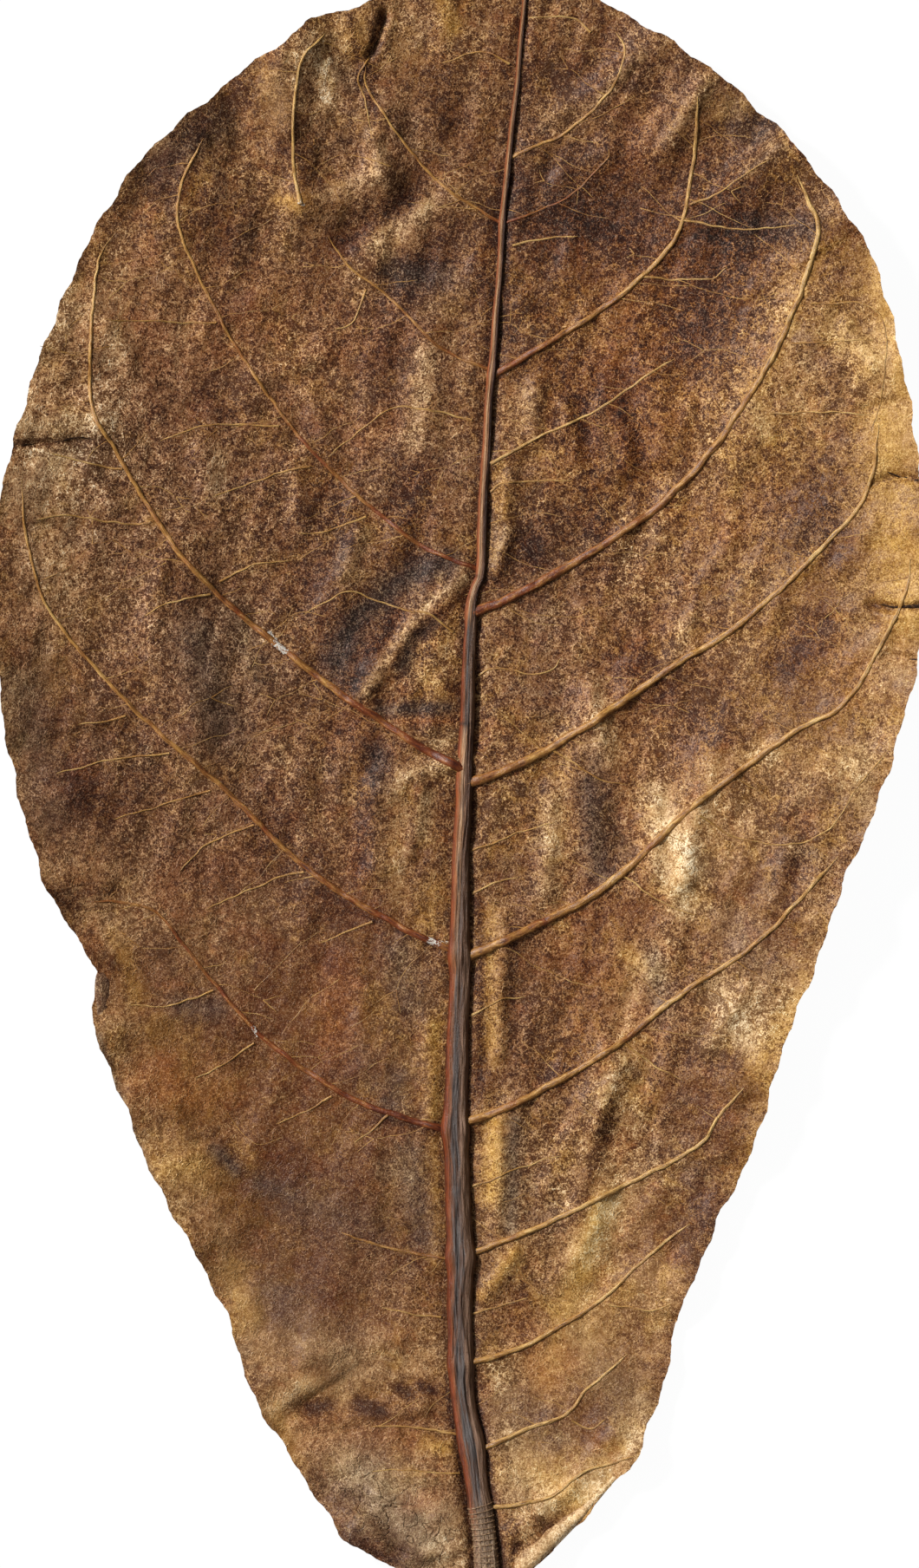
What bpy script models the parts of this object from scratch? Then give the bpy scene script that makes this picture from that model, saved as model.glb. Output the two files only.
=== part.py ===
"""Indian almond leaf, dried, lying on a surface with its veined underside up.

Blender 4.5 script. Metres and +Z up in the scene, millimetres in the sizes below.
The tip of the leaf points along +Y, the stalk along -Y. The surface it lies on is at z = 0.
The leaf grew as one piece, so it is one closed body: the blade, its ribs and its stalk.
"""

import math

import bpy
import numpy as np
from mathutils import Vector
from mathutils.geometry import delaunay_2d_cdt

MM = 0.001

# Blade, stalk and ribs
BLADE_THICKNESS = 0.7
STALK_WIDTH = 4.4
STALK_FREE_FROM_Y = -117.5
STALK_BELLY = 1.5
STALK_BELLY_FROM_Y = -100.0
MIDRIB_WIDTH = (STALK_WIDTH, 1.3)
MIDRIB_HEIGHT = (2.4, 0.5)
MIDRIB_SHOULDER = 0.6
SIDE_VEIN_WIDTH = (1.9, 0.9)
SIDE_VEIN_HEIGHT = (1.0, 0.35)
THIN_VEIN_WIDTH = (1.2, 0.9)
THIN_VEIN_HEIGHT = (0.5, 0.25)
GROOVE_SHARE = 0.25

# How the dry blade has curled: how far the edges, the tip and the stalk's end stand up.
# The lowest stretch is pressed flat on the surface, and eases up out of it.
LEFT_LIFT = 12.0
RIGHT_LIFT = 14.0
HALF_WIDTH = 74.0
TIP_Y = 133.0
TIP_LIFT = 7.0
TIP_LIFT_FROM_Y = 70.0
STALK_END_Y = -133.0
STALK_LIFT = 5.0
STALK_LIFT_FROM_Y = -70.0
PRESSED_DEPTH = 0.6
PRESSED_EASE = 1.0

# Up-and-down waves of the margin and small scallops in its outline: (size, length, phase) of each
EDGE_WAVES = ((0.8, 31.0, 0.4), (0.45, 13.0, 1.9))
EDGE_WAVE_REACH = 9.0
EDGE_SCALLOPS = ((0.22, 7.3, 0.0), (0.16, 11.9, 1.1))
PLAIN_MARGIN_END = 8.0

# Spacing of the points that the surface is drawn through
MARGIN_STEP = 2.5
RIB_STEP = 4.6
FILL_STEP = 6.0
FILL_CLEAR_OF_MARGIN = 2.6
FILL_CLEAR_OF_VEIN = 2.4
MERGE_WITHIN = 0.25

# Midrib from the stalk's end to the tip
MIDRIB = (
    (4.8, STALK_END_Y), (4.5, -120.5), (2.5, -105.5), (0.5, -91.5), (0, -70.5), (-0.5, -50), (0, -22),
    (0.5, -1), (1, 12.5), (1.5, 22.5), (2, 33.5), (3, 39), (4, 54.5), (5.5, 75), (7, 96),
    (8.5, 110), (10.3, 130),
)

# Margin of the left half, from the tip to the notch beside the stalk
LEFT_MARGIN = (
    (10.5, TIP_Y), (0, TIP_Y), (-11.5, 131), (-18, 129), (-24, 127.5), (-25.5, 125.5), (-33, 120.5),
    (-41, 114), (-50, 106), (-55.5, 98.5), (-60, 90.5), (-63.5, 82), (-67.5, 72), (-71, 60),
    (-73.5, 49.5), (-74, 36), (-73.5, 22), (-72.5, 13), (-70, 1.5), (-66.5, -10), (-64.5, -14.5),
    (-60.5, -20.5), (-58, -26), (-58.5, -34), (-54.5, -44), (-49.5, -57), (-43, -69), (-37, -81),
    (-33.5, -92), (-28.5, -100.5), (-20.5, -113), (-17.5, -116.5), (-11.5, -120), (-5, -124),
    (0.5, -125), (1.8, -122), (1.4, -116),
)

# Margin of the right half, from the notch beside the stalk to the tip
RIGHT_MARGIN = (
    (5.8, -116), (7.6, -121), (9, -123), (12, -120.5), (20, -112.5), (25, -106.5), (27.5, -104.5),
    (31, -96), (34, -86.5), (34.5, -81), (36.5, -77), (39.5, -69.5), (42, -63.5), (46.5, -54.5),
    (50, -43.5), (52, -36.5), (56, -26.5), (58.5, -19.5), (61, -11.5), (66, 0), (69, 9),
    (72, 20), (73.5, 26), (74, 40), (73, 59), (70.5, 73), (68, 83.5), (65, 91.5), (60, 99),
    (53.5, 107.5), (49, 112), (41, 119), (30.5, 126), (21, 131), (10.5, TIP_Y),
)

# Main side veins, each from the midrib outward
SIDE_VEINS = (
    ((4, -111), (14, -109.5), (19.5, -105.5), (28, -102.5)),
    ((3, -102), (9.5, -99), (17, -96), (20.5, -92), (27, -86.5)),
    ((1, -88), (9.5, -85.5), (21, -79), (30.5, -70.5), (37, -65.5)),
    ((1, -70.5), (10.5, -67), (21, -62), (37.5, -53.5), (41.5, -48.5), (45.5, -43.5)),
    ((0, -49.5), (10.5, -45.5), (25, -37), (35, -29), (47.5, -20.5), (60.5, -6.5)),
    ((0.5, -23), (9.5, -19), (24, -11), (37.5, 1.5), (53, 13), (62.5, 19), (71, 35), (72, 41)),
    ((1, 5), (14, 10.5), (34.5, 24), (46.5, 32), (62, 47), (66, 54.5), (67, 62.5)),
    ((2, 32.5), (13, 37.5), (34, 51.5), (48.5, 70.5), (57, 91), (56, 98), (54, 102.5)),
    ((5, 70.5), (16, 77), (27, 84.5), (35, 93.5), (37.5, 105.5), (38, 115)),
    ((5, 56.5), (13, 61), (22, 65), (30, 70.5), (34.5, 73.5)),
    ((8, 105.5), (17.5, 110), (24, 116), (26.5, 122), (25, 125.5)),
    ((7, 95), (17, 99), (23.5, 105), (24, 107)),
    ((1, -99.5), (-8, -98), (-14.5, -98)),
    ((-0.5, -71.5), (-11, -69.5), (-19, -67)),
    ((-1, -51), (-12, -47.5), (-19, -44.5), (-32, -35), (-42.5, -23), (-49.5, -15), (-60.5, -13.5)),
    ((0, -22), (-11, -17), (-25, -8), (-38, 4.5), (-53.5, 18.5), (-65.5, 33), (-69, 44), (-70, 54)),
    ((0.5, 7.5), (-10, 13.5), (-27.5, 26), (-44, 41), (-55, 58.5), (-59, 67), (-58, 87), (-55, 94)),
    ((3, 39.5), (-8.5, 45), (-24.5, 59.5), (-36, 75.5), (-44.5, 93), (-44.5, 101), (-40.5, 109.5)),
    ((5, 71.5), (-3.5, 75.5), (-11, 83), (-18, 88.5), (-21, 93)),
    ((7, 95), (-2, 100.5), (-8.5, 107.5), (-14.5, 116), (-15, 120)),
    ((-25.5, 98), (-26.5, 105), (-26.5, 114), (-25, 121), (-21.5, 125)),
)

# Thin veins that leave the midrib and the side veins, the raised net between them
THIN_VEINS = (
    ((38.5, 0), (44.5, -3.5), (51.5, -4.5), (58.5, -2.5), (65.5, 7), (69, 11)),
    ((56, 82), (67, 80.5), (67.5, 67), (65.5, 61)),
    ((50, 64.5), (61, 64.5), (66, 64)),
    ((53, 75.5), (59, 76), (66.5, 76)),
    ((36, 95.5), (44.5, 94), (54, 94.5)),
    ((37, 98), (41.5, 100), (49.5, 105)),
    ((29.5, 86.5), (39.5, 86), (43, 88)),
    ((8.5, 91.5), (12, 92.5), (19, 93)),
    ((5, 52), (7.5, 53.5), (18, 54)),
    ((3, 22.5), (5.5, 23.5), (14, 23), (16.5, 25.5)),
    ((2, -5.5), (6.5, -4), (10.5, -2.5), (15.5, -1)),
    ((2, -12.5), (6.5, -10.5), (9.5, -10)),
    ((2, -32), (6.5, -29.5), (10.5, -29)),
    ((2, -59.5), (9.5, -56.5), (16, -54.5)),
    ((2, -80), (7.5, -78.5), (11, -77.5)),
    ((18, -97), (21, -98.5), (23.5, -97)),
    ((24, -78.5), (30.5, -79.5), (34, -78.5)),
    ((26, -36), (31, -40), (36, -42.5)),
    ((26, -9.5), (33, -14), (38, -16)),
    ((15, 10.5), (22, 6), (27, 5)),
    ((21, 125.5), (17.5, 128), (11, 128)),
    ((8, 120.5), (4, 122.5), (-3, 120.5)),
    ((-15, 84.5), (-17, 79.5), (-20, 78)),
    ((-11.5, -48), (-14.5, -50.5), (-17, -52.5)),
    ((-20.5, -45), (-25, -47.5), (-29.5, -49.5)),
    ((-33, -36.5), (-38, -40), (-42.5, -42)),
    ((-39.5, -28), (-45, -30), (-53, -30.5)),
    ((-14, -17), (-18.5, -19), (-22.5, -20.5)),
    ((-25, -9), (-30.5, -10.5), (-41, -15)),
    ((-33, -1.5), (-40.5, -4.5), (-45, -9)),
    ((-40, 4), (-48.5, 1.5), (-55.5, -0.5)),
    ((-46.5, 10), (-56, 9), (-64.5, 6.5)),
    ((-53.5, 16), (-57, 15), (-61, 14.5)),
    ((-40, 35.5), (-45, 34.5), (-50.5, 32)),
    ((-49.5, 47), (-53, 46.5), (-62.5, 48), (-69, 47)),
    ((-54, 55.5), (-58.5, 56), (-65.5, 58)),
    ((-38.5, 37.5), (-32, 40.5), (-27, 41)),
    ((-39, 79), (-48.5, 79), (-57, 79.5)),
    ((-29, 62.5), (-40.5, 62.5), (-48, 60)),
    ((-24, 56), (-29, 55), (-39.5, 51)),
    ((-15, 48), (-22, 45.5), (-26, 45.5)),
    ((2, 63.5), (-7, 65.5), (-12.5, 64.5), (-21, 57.5)),
    ((-3, -80.5), (-7, -80), (-12.5, -79)),
    ((0, -105.5), (-9, -105), (-14, -105)),
)

# Folds that the blade dried into: start, end, height (a hollow is negative), half-width
FOLDS = (
    ((-26.5, 122), (-25.5, 99), 1.7, 4.5),
    ((-14, 112), (-12, 102), 1.3, 3.6),
    ((-12, 102), (-22, 97.5), 1.4, 3.6),
    ((-1.5, 99), (-14.5, 89), 1.3, 3.8),
    ((4, 86), (-6, 81), 0.9, 3.4),
    ((-4, 77), (-5.5, 58.5), 1.5, 3.8),
    ((-8.5, 46), (-20, 33.5), 1.2, 4.2),
    ((-1.5, 38), (-15, 20), 1.5, 4.2),
    ((-1, 8), (-11, 4), 1.2, 3.8),
    ((-11, 4), (-12, -9), 1.2, 4.0),
    ((-45, 42), (-43, 14), 1.5, 5.5),
    ((-74, 63.5), (-56, 61.5), 1.3, 3.4),
    ((-60, 30), (-68, 12), -1.2, 6.0),
    ((-50, 103), (-58, 90), -1.4, 6.0),
    ((13, 76), (15, 65), 0.8, 3.0),
    ((22, 71.5), (24.5, 56), 0.8, 3.0),
    ((30.5, 71.5), (32.5, 58), 0.8, 3.0),
    ((46, 62), (56, 86), 1.6, 6.5),
    ((23, 113), (31, 125), 1.2, 3.6),
    ((32.5, 106.5), (40, 118), 1.3, 3.8),
    ((44, 99), (53, 108), 1.3, 4.0),
    ((21, 16), (20, -3), 1.2, 4.0),
    ((42, 11), (36, -10), 1.4, 4.5),
    ((8.8, -45), (8.8, -67), 1.0, 3.2),
    ((23.5, -38), (18.5, -64), 1.3, 4.4),
    ((-24, -94.5), (-5, -92), -0.9, 3.0),
    ((-18, -60), (-22, -84), 1.1, 6.0),
    ((-36, -52), (-30, -72), -0.9, 6.0),
)

# Sharp creases in the margin: points along it, depth, half-width
CREASES = (
    (((-12, 128.5), (-13, 124.5), (-14.5, 121), (-15.2, 117.5)), 1.6, 1.6),
    (((-71, 59), (-62.5, 60), (-56, 60)), 1.1, 1.3),
    (((73, 53.5), (70, 54.3), (66, 53)), 0.9, 1.3),
    (((73.3, 33.5), (69.5, 33), (65.5, 34)), 1.0, 1.3),
    (((72.5, 25), (68, 25.5)), 0.9, 1.3),
    (((34.2, -81), (30, -80.4)), 0.8, 1.2),
)

# Finish of the dry leaf
LEAF_COLOUR = (0.19, 0.1, 0.045, 1.0)
LEAF_ROUGHNESS = 0.45


def clear_scene():
    """Start from an empty scene."""
    for thing in list(bpy.data.objects):
        bpy.data.objects.remove(thing, do_unlink=True)


def smooth_line(points, step):
    """Points about one step apart on a smooth curve through the given points."""
    pts = np.array(points, float)
    ends = np.vstack([2 * pts[0] - pts[1], pts, 2 * pts[-1] - pts[-2]])
    dense = []
    for a, b, c, d in zip(ends, ends[1:], ends[2:], ends[3:]):
        for t in np.linspace(0.0, 1.0, 12, endpoint=False):
            dense.append(
                0.5 * (2 * b + (c - a) * t + (2 * a - 5 * b + 4 * c - d) * t**2
                       + (3 * b - a - 3 * c + d) * t**3)
            )
    dense = np.array(dense + [pts[-1]])
    run = along(dense)
    count = max(2, round(run[-1] / step) + 1)
    where = np.linspace(0.0, run[-1], count)
    return np.column_stack([np.interp(where, run, dense[:, k]) for k in (0, 1)])


def along(line):
    """Distance along a line at each of its points."""
    steps = np.hypot(*np.diff(line, axis=0).T)
    return np.concatenate([[0.0], np.cumsum(steps)])


def left_normals(line):
    """Unit normals to the left of a line's direction."""
    way = np.gradient(line, axis=0)
    way /= np.hypot(way[:, 0], way[:, 1])[:, None]
    return np.column_stack([-way[:, 1], way[:, 0]])


def nearest(line, spots):
    """Distance from each spot to a line, and how far along the line, from 0 to 1, it is nearest."""
    start, end = line[:-1], line[1:]
    way = end - start
    length = np.hypot(way[:, 0], way[:, 1])
    run = along(line)
    offset = spots[:, None, :] - start[None]
    t = np.clip((offset * way).sum(2) / length**2, 0.0, 1.0)
    gap = np.linalg.norm(offset - t[..., None] * way, axis=2)
    best = gap.argmin(1)
    rows = np.arange(len(spots))
    share = (run[best] + t[rows, best] * length[best]) / run[-1]
    return gap[rows, best], share


def taper(sizes, share):
    """A size that runs evenly from a vein's root to its end."""
    root, end = sizes
    return root + (end - root) * share


def ease(value, start, end):
    """0 before start, 1 after end, and a smooth turn between them."""
    t = np.clip((value - start) / (end - start), 0.0, 1.0)
    return t * t * (3 - 2 * t)


def scalloped(line):
    """A stretch of margin with its small uneven scallops."""
    run = along(line)
    fade = ease(run, 0.0, PLAIN_MARGIN_END) * ease(run[-1] - run, 0.0, PLAIN_MARGIN_END)
    push = sum(size * np.sin(2 * math.pi * run / length + phase)
               for size, length, phase in EDGE_SCALLOPS)
    return line - left_normals(line) * (push * fade)[:, None]


class Vein:
    """One rib: a line with a width and a height that taper from its root."""

    def __init__(self, points, width, height):
        self.line = smooth_line(points, RIB_STEP)
        self.width = width
        self.height = height

    def to_foot(self):
        """The step from each point of the crest to the rib's left foot, none at its end."""
        run = along(self.line)
        half = taper(self.width, run / run[-1]) / 2
        half[-1] = 0.0
        return left_normals(self.line) * half[:, None]

    def crest_and_feet(self, shares_of_half_width):
        """The crest line, and lines beside it that close on its end."""
        side = self.to_foot()
        lines = [self.line]
        for share in shares_of_half_width:
            lines += [self.line + side * share, self.line - side * share]
        return lines

    def rise(self, spots):
        """Height of the rib over the blade at each spot, a plain ridge."""
        gap, share = nearest(self.line, spots)
        half = taper(self.width, share) / 2
        return taper(self.height, share) * np.clip(1 - gap / half, 0.0, 1.0)


class Midrib(Vein):
    """The midrib, which runs on as the stalk and is rounded across."""

    def stalk_edges(self):
        """The two edges of the free stalk: down its left side, and up its right side."""
        free = self.line[:, 1] < STALK_FREE_FROM_Y
        side = self.to_foot()
        return (self.line + side)[free][::-1], (self.line - side)[free]

    def rise(self, spots):
        """Height of the rounded rib over the blade at each spot."""
        gap, share = nearest(self.line, spots)
        across = np.clip(gap / (taper(self.width, share) / 2), 0.0, 1.0)
        return taper(self.height, share) * np.sqrt(1 - across**2)


class Leaf:
    """The whole leaf: its outline, its ribs and the surface they lie in."""

    def __init__(self):
        self.midrib = Midrib(MIDRIB, MIDRIB_WIDTH, MIDRIB_HEIGHT)
        self.veins = [Vein(p, SIDE_VEIN_WIDTH, SIDE_VEIN_HEIGHT) for p in SIDE_VEINS]
        self.veins += [Vein(p, THIN_VEIN_WIDTH, THIN_VEIN_HEIGHT) for p in THIN_VEINS]
        self.left = scalloped(smooth_line(LEFT_MARGIN, MARGIN_STEP))
        self.right = scalloped(smooth_line(RIGHT_MARGIN, MARGIN_STEP))

    def outline(self):
        """The whole outline, counter-clockwise from the tip."""
        stalk_left, stalk_right = self.midrib.stalk_edges()
        return np.vstack([self.left, stalk_left, stalk_right, self.right[:-1]])

    def crease_lines(self):
        """The floor and the two brinks of each crease."""
        lines = []
        for points, _, half in CREASES:
            floor = smooth_line(points, RIB_STEP)
            side = left_normals(floor) * half
            lines += [floor, floor + side, floor - side]
        return lines

    def fill_points(self, ring, lines):
        """Points in rows between the ribs, clear of every line."""
        low, high = ring.min(0), ring.max(0)
        spots = []
        for row, y in enumerate(np.arange(low[1], high[1], FILL_STEP * math.sin(math.pi / 3))):
            for x in np.arange(low[0] + (row % 2) * FILL_STEP / 2, high[0], FILL_STEP):
                spots.append((x, y))
        spots = np.array(spots)
        keep = nearest(np.vstack([ring, ring[:1]]), spots)[0] > FILL_CLEAR_OF_MARGIN
        for line in lines:
            keep &= nearest(line, spots)[0] > FILL_CLEAR_OF_VEIN
        return spots[keep]

    def triangles(self):
        """Plan of the surface: points, and triangles that follow the outline and every rib."""
        ring = self.outline()
        lines = self.midrib.crest_and_feet((MIDRIB_SHOULDER, 1.0))
        for vein in self.veins:
            lines += vein.crest_and_feet((1.0,))
        lines += self.crease_lines()
        points = [tuple(p) for p in ring]
        edges = []
        for line in lines:
            first = len(points)
            points += [tuple(p) for p in line]
            edges += [(i, i + 1) for i in range(first, len(points) - 1)]
        points += [tuple(p) for p in self.fill_points(ring, lines)]
        plan, _, faces, _, _, _ = delaunay_2d_cdt(
            [Vector(p) for p in points], edges, [list(range(len(ring)))], 1, MERGE_WITHIN
        )
        return keep_used(np.array([tuple(p) for p in plan]), np.array(faces))

    def folds(self, spots):
        """Height that the folds and creases give at each spot."""
        height = np.zeros(len(spots))
        for start, end, size, half in FOLDS:
            gap, _ = nearest(np.array([start, end], float), spots)
            height += size * np.exp(-((gap / half) ** 2))
        for points, depth, half in CREASES:
            gap, _ = nearest(smooth_line(points, RIB_STEP), spots)
            height -= depth * np.clip(1 - gap / half, 0.0, 1.0)
        return height

    def edge_waves(self, spots):
        """Height that the waves of the margin give at each spot."""
        height = np.zeros(len(spots))
        for margin in (self.left, self.right):
            gap, share = nearest(margin, spots)
            run = share * along(margin)[-1]
            wave = sum(size * np.sin(2 * math.pi * run / length + phase)
                       for size, length, phase in EDGE_WAVES)
            fade = ease(run, 0.0, 3 * EDGE_WAVE_REACH)
            fade *= ease(along(margin)[-1] - run, 0.0, 3 * EDGE_WAVE_REACH)
            height += wave * fade * np.exp(-gap / EDGE_WAVE_REACH)
        return height

    def lie(self, spots):
        """Height of the middle of the blade over its lowest stretch."""
        x, y = spots[:, 0], spots[:, 1]
        middle = np.interp(y, self.midrib.line[:, 1], self.midrib.line[:, 0])
        across = (x - middle) / HALF_WIDTH
        height = np.where(across < 0, LEFT_LIFT, RIGHT_LIFT) * across**2
        to_tip = np.clip((y - TIP_LIFT_FROM_Y) / (TIP_Y - TIP_LIFT_FROM_Y), 0.0, None)
        height += TIP_LIFT * to_tip**2
        height += STALK_LIFT * ease(-y, -STALK_LIFT_FROM_Y, -STALK_END_Y)
        height += self.folds(spots) + self.edge_waves(spots) - PRESSED_DEPTH
        return press_flat(height)

    def faces_heights(self, spots):
        """Heights of the upper and the lower face at each spot."""
        middle = self.lie(spots)
        rib = self.midrib.rise(spots)
        rise = rib.copy()
        groove = np.zeros(len(spots))
        for vein in self.veins:
            own = vein.rise(spots)
            rise = np.maximum(rise, own)
            groove = np.maximum(groove, GROOVE_SHARE * own)
        belly_share = ease(-spots[:, 1], -STALK_BELLY_FROM_Y, -STALK_FREE_FROM_Y)
        belly = STALK_BELLY * belly_share * rib / MIDRIB_HEIGHT[0]
        upper = middle + BLADE_THICKNESS + rise
        lower = middle + np.where(rib > 0, 0.0, groove) - belly
        return upper, lower


def keep_used(plan, faces):
    """The points that the triangles use, and the triangles numbered to match."""
    used, corners = np.unique(faces, return_inverse=True)
    return plan[used], corners.reshape(faces.shape).tolist()


def press_flat(height):
    """Heights with all that is below zero pressed flat, easing up out of the surface."""
    eased = np.clip(height, 0.0, 2 * PRESSED_EASE) ** 2 / (4 * PRESSED_EASE)
    return np.where(height < 2 * PRESSED_EASE, eased, height - PRESSED_EASE)


def close_body(plan, faces, upper, lower):
    """Vertices and triangles of the closed leaf: both faces split alike, and the rim between them."""
    count = len(plan)
    top = np.column_stack([plan, upper])
    bottom = np.column_stack([plan, lower])
    bodies = list(faces) + [[count + i for i in reversed(tri)] for tri in faces]
    directed = {(tri[k], tri[(k + 1) % 3]) for tri in faces for k in range(3)}
    for a, b in sorted(directed):
        if (b, a) not in directed:
            bodies += [(b, a, a + count), (b, a + count, b + count)]
    return np.vstack([top, bottom]) * MM, bodies


def leaf_material():
    """Dry brown leaf, slightly glossy."""
    material = bpy.data.materials.new("dry_leaf")
    material.use_nodes = True
    shader = material.node_tree.nodes["Principled BSDF"]
    shader.inputs["Base Color"].default_value = LEAF_COLOUR
    shader.inputs["Roughness"].default_value = LEAF_ROUGHNESS
    shader.inputs["Metallic"].default_value = 0.0
    return material


def build_leaf():
    """Model the leaf as one object."""
    leaf = Leaf()
    plan, faces = leaf.triangles()
    upper, lower = leaf.faces_heights(plan)
    lower_by = lower.min()
    verts, bodies = close_body(plan, faces, upper - lower_by, lower - lower_by)
    mesh = bpy.data.meshes.new("leaf")
    mesh.from_pydata(verts.tolist(), [], bodies)
    mesh.validate()
    mesh.shade_smooth()
    mesh.set_sharp_from_angle(angle=math.radians(40))
    mesh.materials.append(leaf_material())
    thing = bpy.data.objects.new("leaf", mesh)
    bpy.context.scene.collection.objects.link(thing)
    return thing


clear_scene()
build_leaf()
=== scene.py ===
"""Looks of a dried Indian almond leaf that lies with its veined underside up.

Blender 4.5 script. The tip points along +Y, the stalk along -Y, and the leaf lies on z = 0.
Sizes in the classes and tables are millimetres, as they would be taken off the leaf with calipers,
and every mesh is in metres. The leaf is one grown piece, so all that is made here stands for the
one solid: two blade halves that meet under the midrib, the midrib with its stalk, the side veins,
the thin veins, the hair veins, dark cords of painted shade in the margin's creases, the rings of
the stalk and the rolled margins. In places, light and shade are painted into the colours too.
"""

from __future__ import annotations

import logging
import math
from dataclasses import dataclass, field
from enum import Enum
from typing import Any, Sequence

import bpy
import numpy as np
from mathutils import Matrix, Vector, kdtree, noise
from mathutils.geometry import delaunay_2d_cdt


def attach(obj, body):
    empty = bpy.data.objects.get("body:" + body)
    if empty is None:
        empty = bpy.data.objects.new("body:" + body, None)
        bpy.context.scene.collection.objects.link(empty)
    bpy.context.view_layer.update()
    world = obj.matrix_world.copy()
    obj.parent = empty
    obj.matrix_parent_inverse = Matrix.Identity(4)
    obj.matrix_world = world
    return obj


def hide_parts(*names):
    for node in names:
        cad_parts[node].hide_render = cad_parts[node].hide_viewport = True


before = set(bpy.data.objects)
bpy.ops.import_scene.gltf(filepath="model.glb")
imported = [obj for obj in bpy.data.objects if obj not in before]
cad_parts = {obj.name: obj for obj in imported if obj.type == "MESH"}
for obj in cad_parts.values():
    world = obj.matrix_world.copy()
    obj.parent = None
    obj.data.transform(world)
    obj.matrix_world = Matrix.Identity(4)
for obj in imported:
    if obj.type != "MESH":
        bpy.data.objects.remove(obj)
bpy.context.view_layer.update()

LOG = logging.getLogger("leaf")
MM = 0.001
# Spots that are measured at once, so that memory stays small
BATCH = 20000
# Edges with a greater turn than this stay sharp
SHARP_TURN = math.radians(60)

Piece = bpy.types.Object
Socket = bpy.types.NodeSocket
Point = tuple[float, float]
Path = tuple[Point, ...]
# Values along the leaf: (Y, value) from the stalk's end up
Stations = tuple[tuple[float, float], ...]
# A wave: size, length, phase
Wave = tuple[float, float, float]
# A fold, a stained patch or a patch of painted light or shade: X and Y of each point on the line it
# follows, then its half-width and amount
Mark = tuple[float, ...]

# The midrib from the stalk's end to the tip, the same line as in the solid
MIDRIB: Path = (
    (4.8, -133), (4.5, -120.5), (2.5, -105.5), (0.5, -91.5), (0, -70.5), (-0.5, -50), (0, -22),
    (0.5, -1), (1, 12.5), (1.5, 22.5), (2, 33.5), (3, 39), (4, 54.5), (5.5, 75), (7, 96),
    (8.5, 110), (10.3, 130),
)
RIB_TIP: Point = (10.5, 132.6)
# Its kink: how far it steps aside, and the three Ys that it runs between
RIB_KINK = (0.5, 36.5, 38.5, 46.0)
# Its sways: size, length, phase
RIB_SWAYS: tuple[Wave, ...] = ((0.1, 6.1, 0.0), (0.06, 2.3, 1.0))
# Spots further than this from the midrib don't count as beside it
RIB_REACH = 6.0

# The margins, the same lines as in the solid: the left one from the tip to the notch beside the
# stalk, the right one from that notch to the tip
LEFT_MARGIN: Path = (
    (10.5, 133), (0, 133), (-11.5, 131), (-18, 129), (-24, 127.5), (-25.5, 125.5), (-33, 120.5),
    (-41, 114), (-50, 106), (-55.5, 98.5), (-60, 90.5), (-63.5, 82), (-67.5, 72), (-71, 60),
    (-73.5, 49.5), (-74, 36), (-73.5, 22), (-72.5, 13), (-70, 1.5), (-66.5, -10), (-64.5, -14.5),
    (-60.5, -20.5), (-58, -26), (-58.5, -34), (-54.5, -44), (-49.5, -57), (-43, -69), (-37, -81),
    (-33.5, -92), (-28.5, -100.5), (-20.5, -113), (-17.5, -116.5), (-11.5, -120), (-5, -124),
    (0.5, -125), (1.8, -122), (1.4, -116),
)
RIGHT_MARGIN: Path = (
    (5.8, -116), (7.6, -121), (9, -123), (12, -120.5), (20, -112.5), (25, -106.5), (27.5, -104.5),
    (31, -96), (34, -86.5), (34.5, -81), (36.5, -77), (39.5, -69.5), (42, -63.5), (46.5, -54.5),
    (50, -43.5), (52, -36.5), (56, -26.5), (58.5, -19.5), (61, -11.5), (66, 0), (69, 9),
    (72, 20), (73.5, 26), (74, 40), (73, 59), (70.5, 73), (68, 83.5), (65, 91.5), (60, 99),
    (53.5, 107.5), (49, 112), (41, 119), (30.5, 126), (21, 131), (10.5, 133),
)

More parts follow.
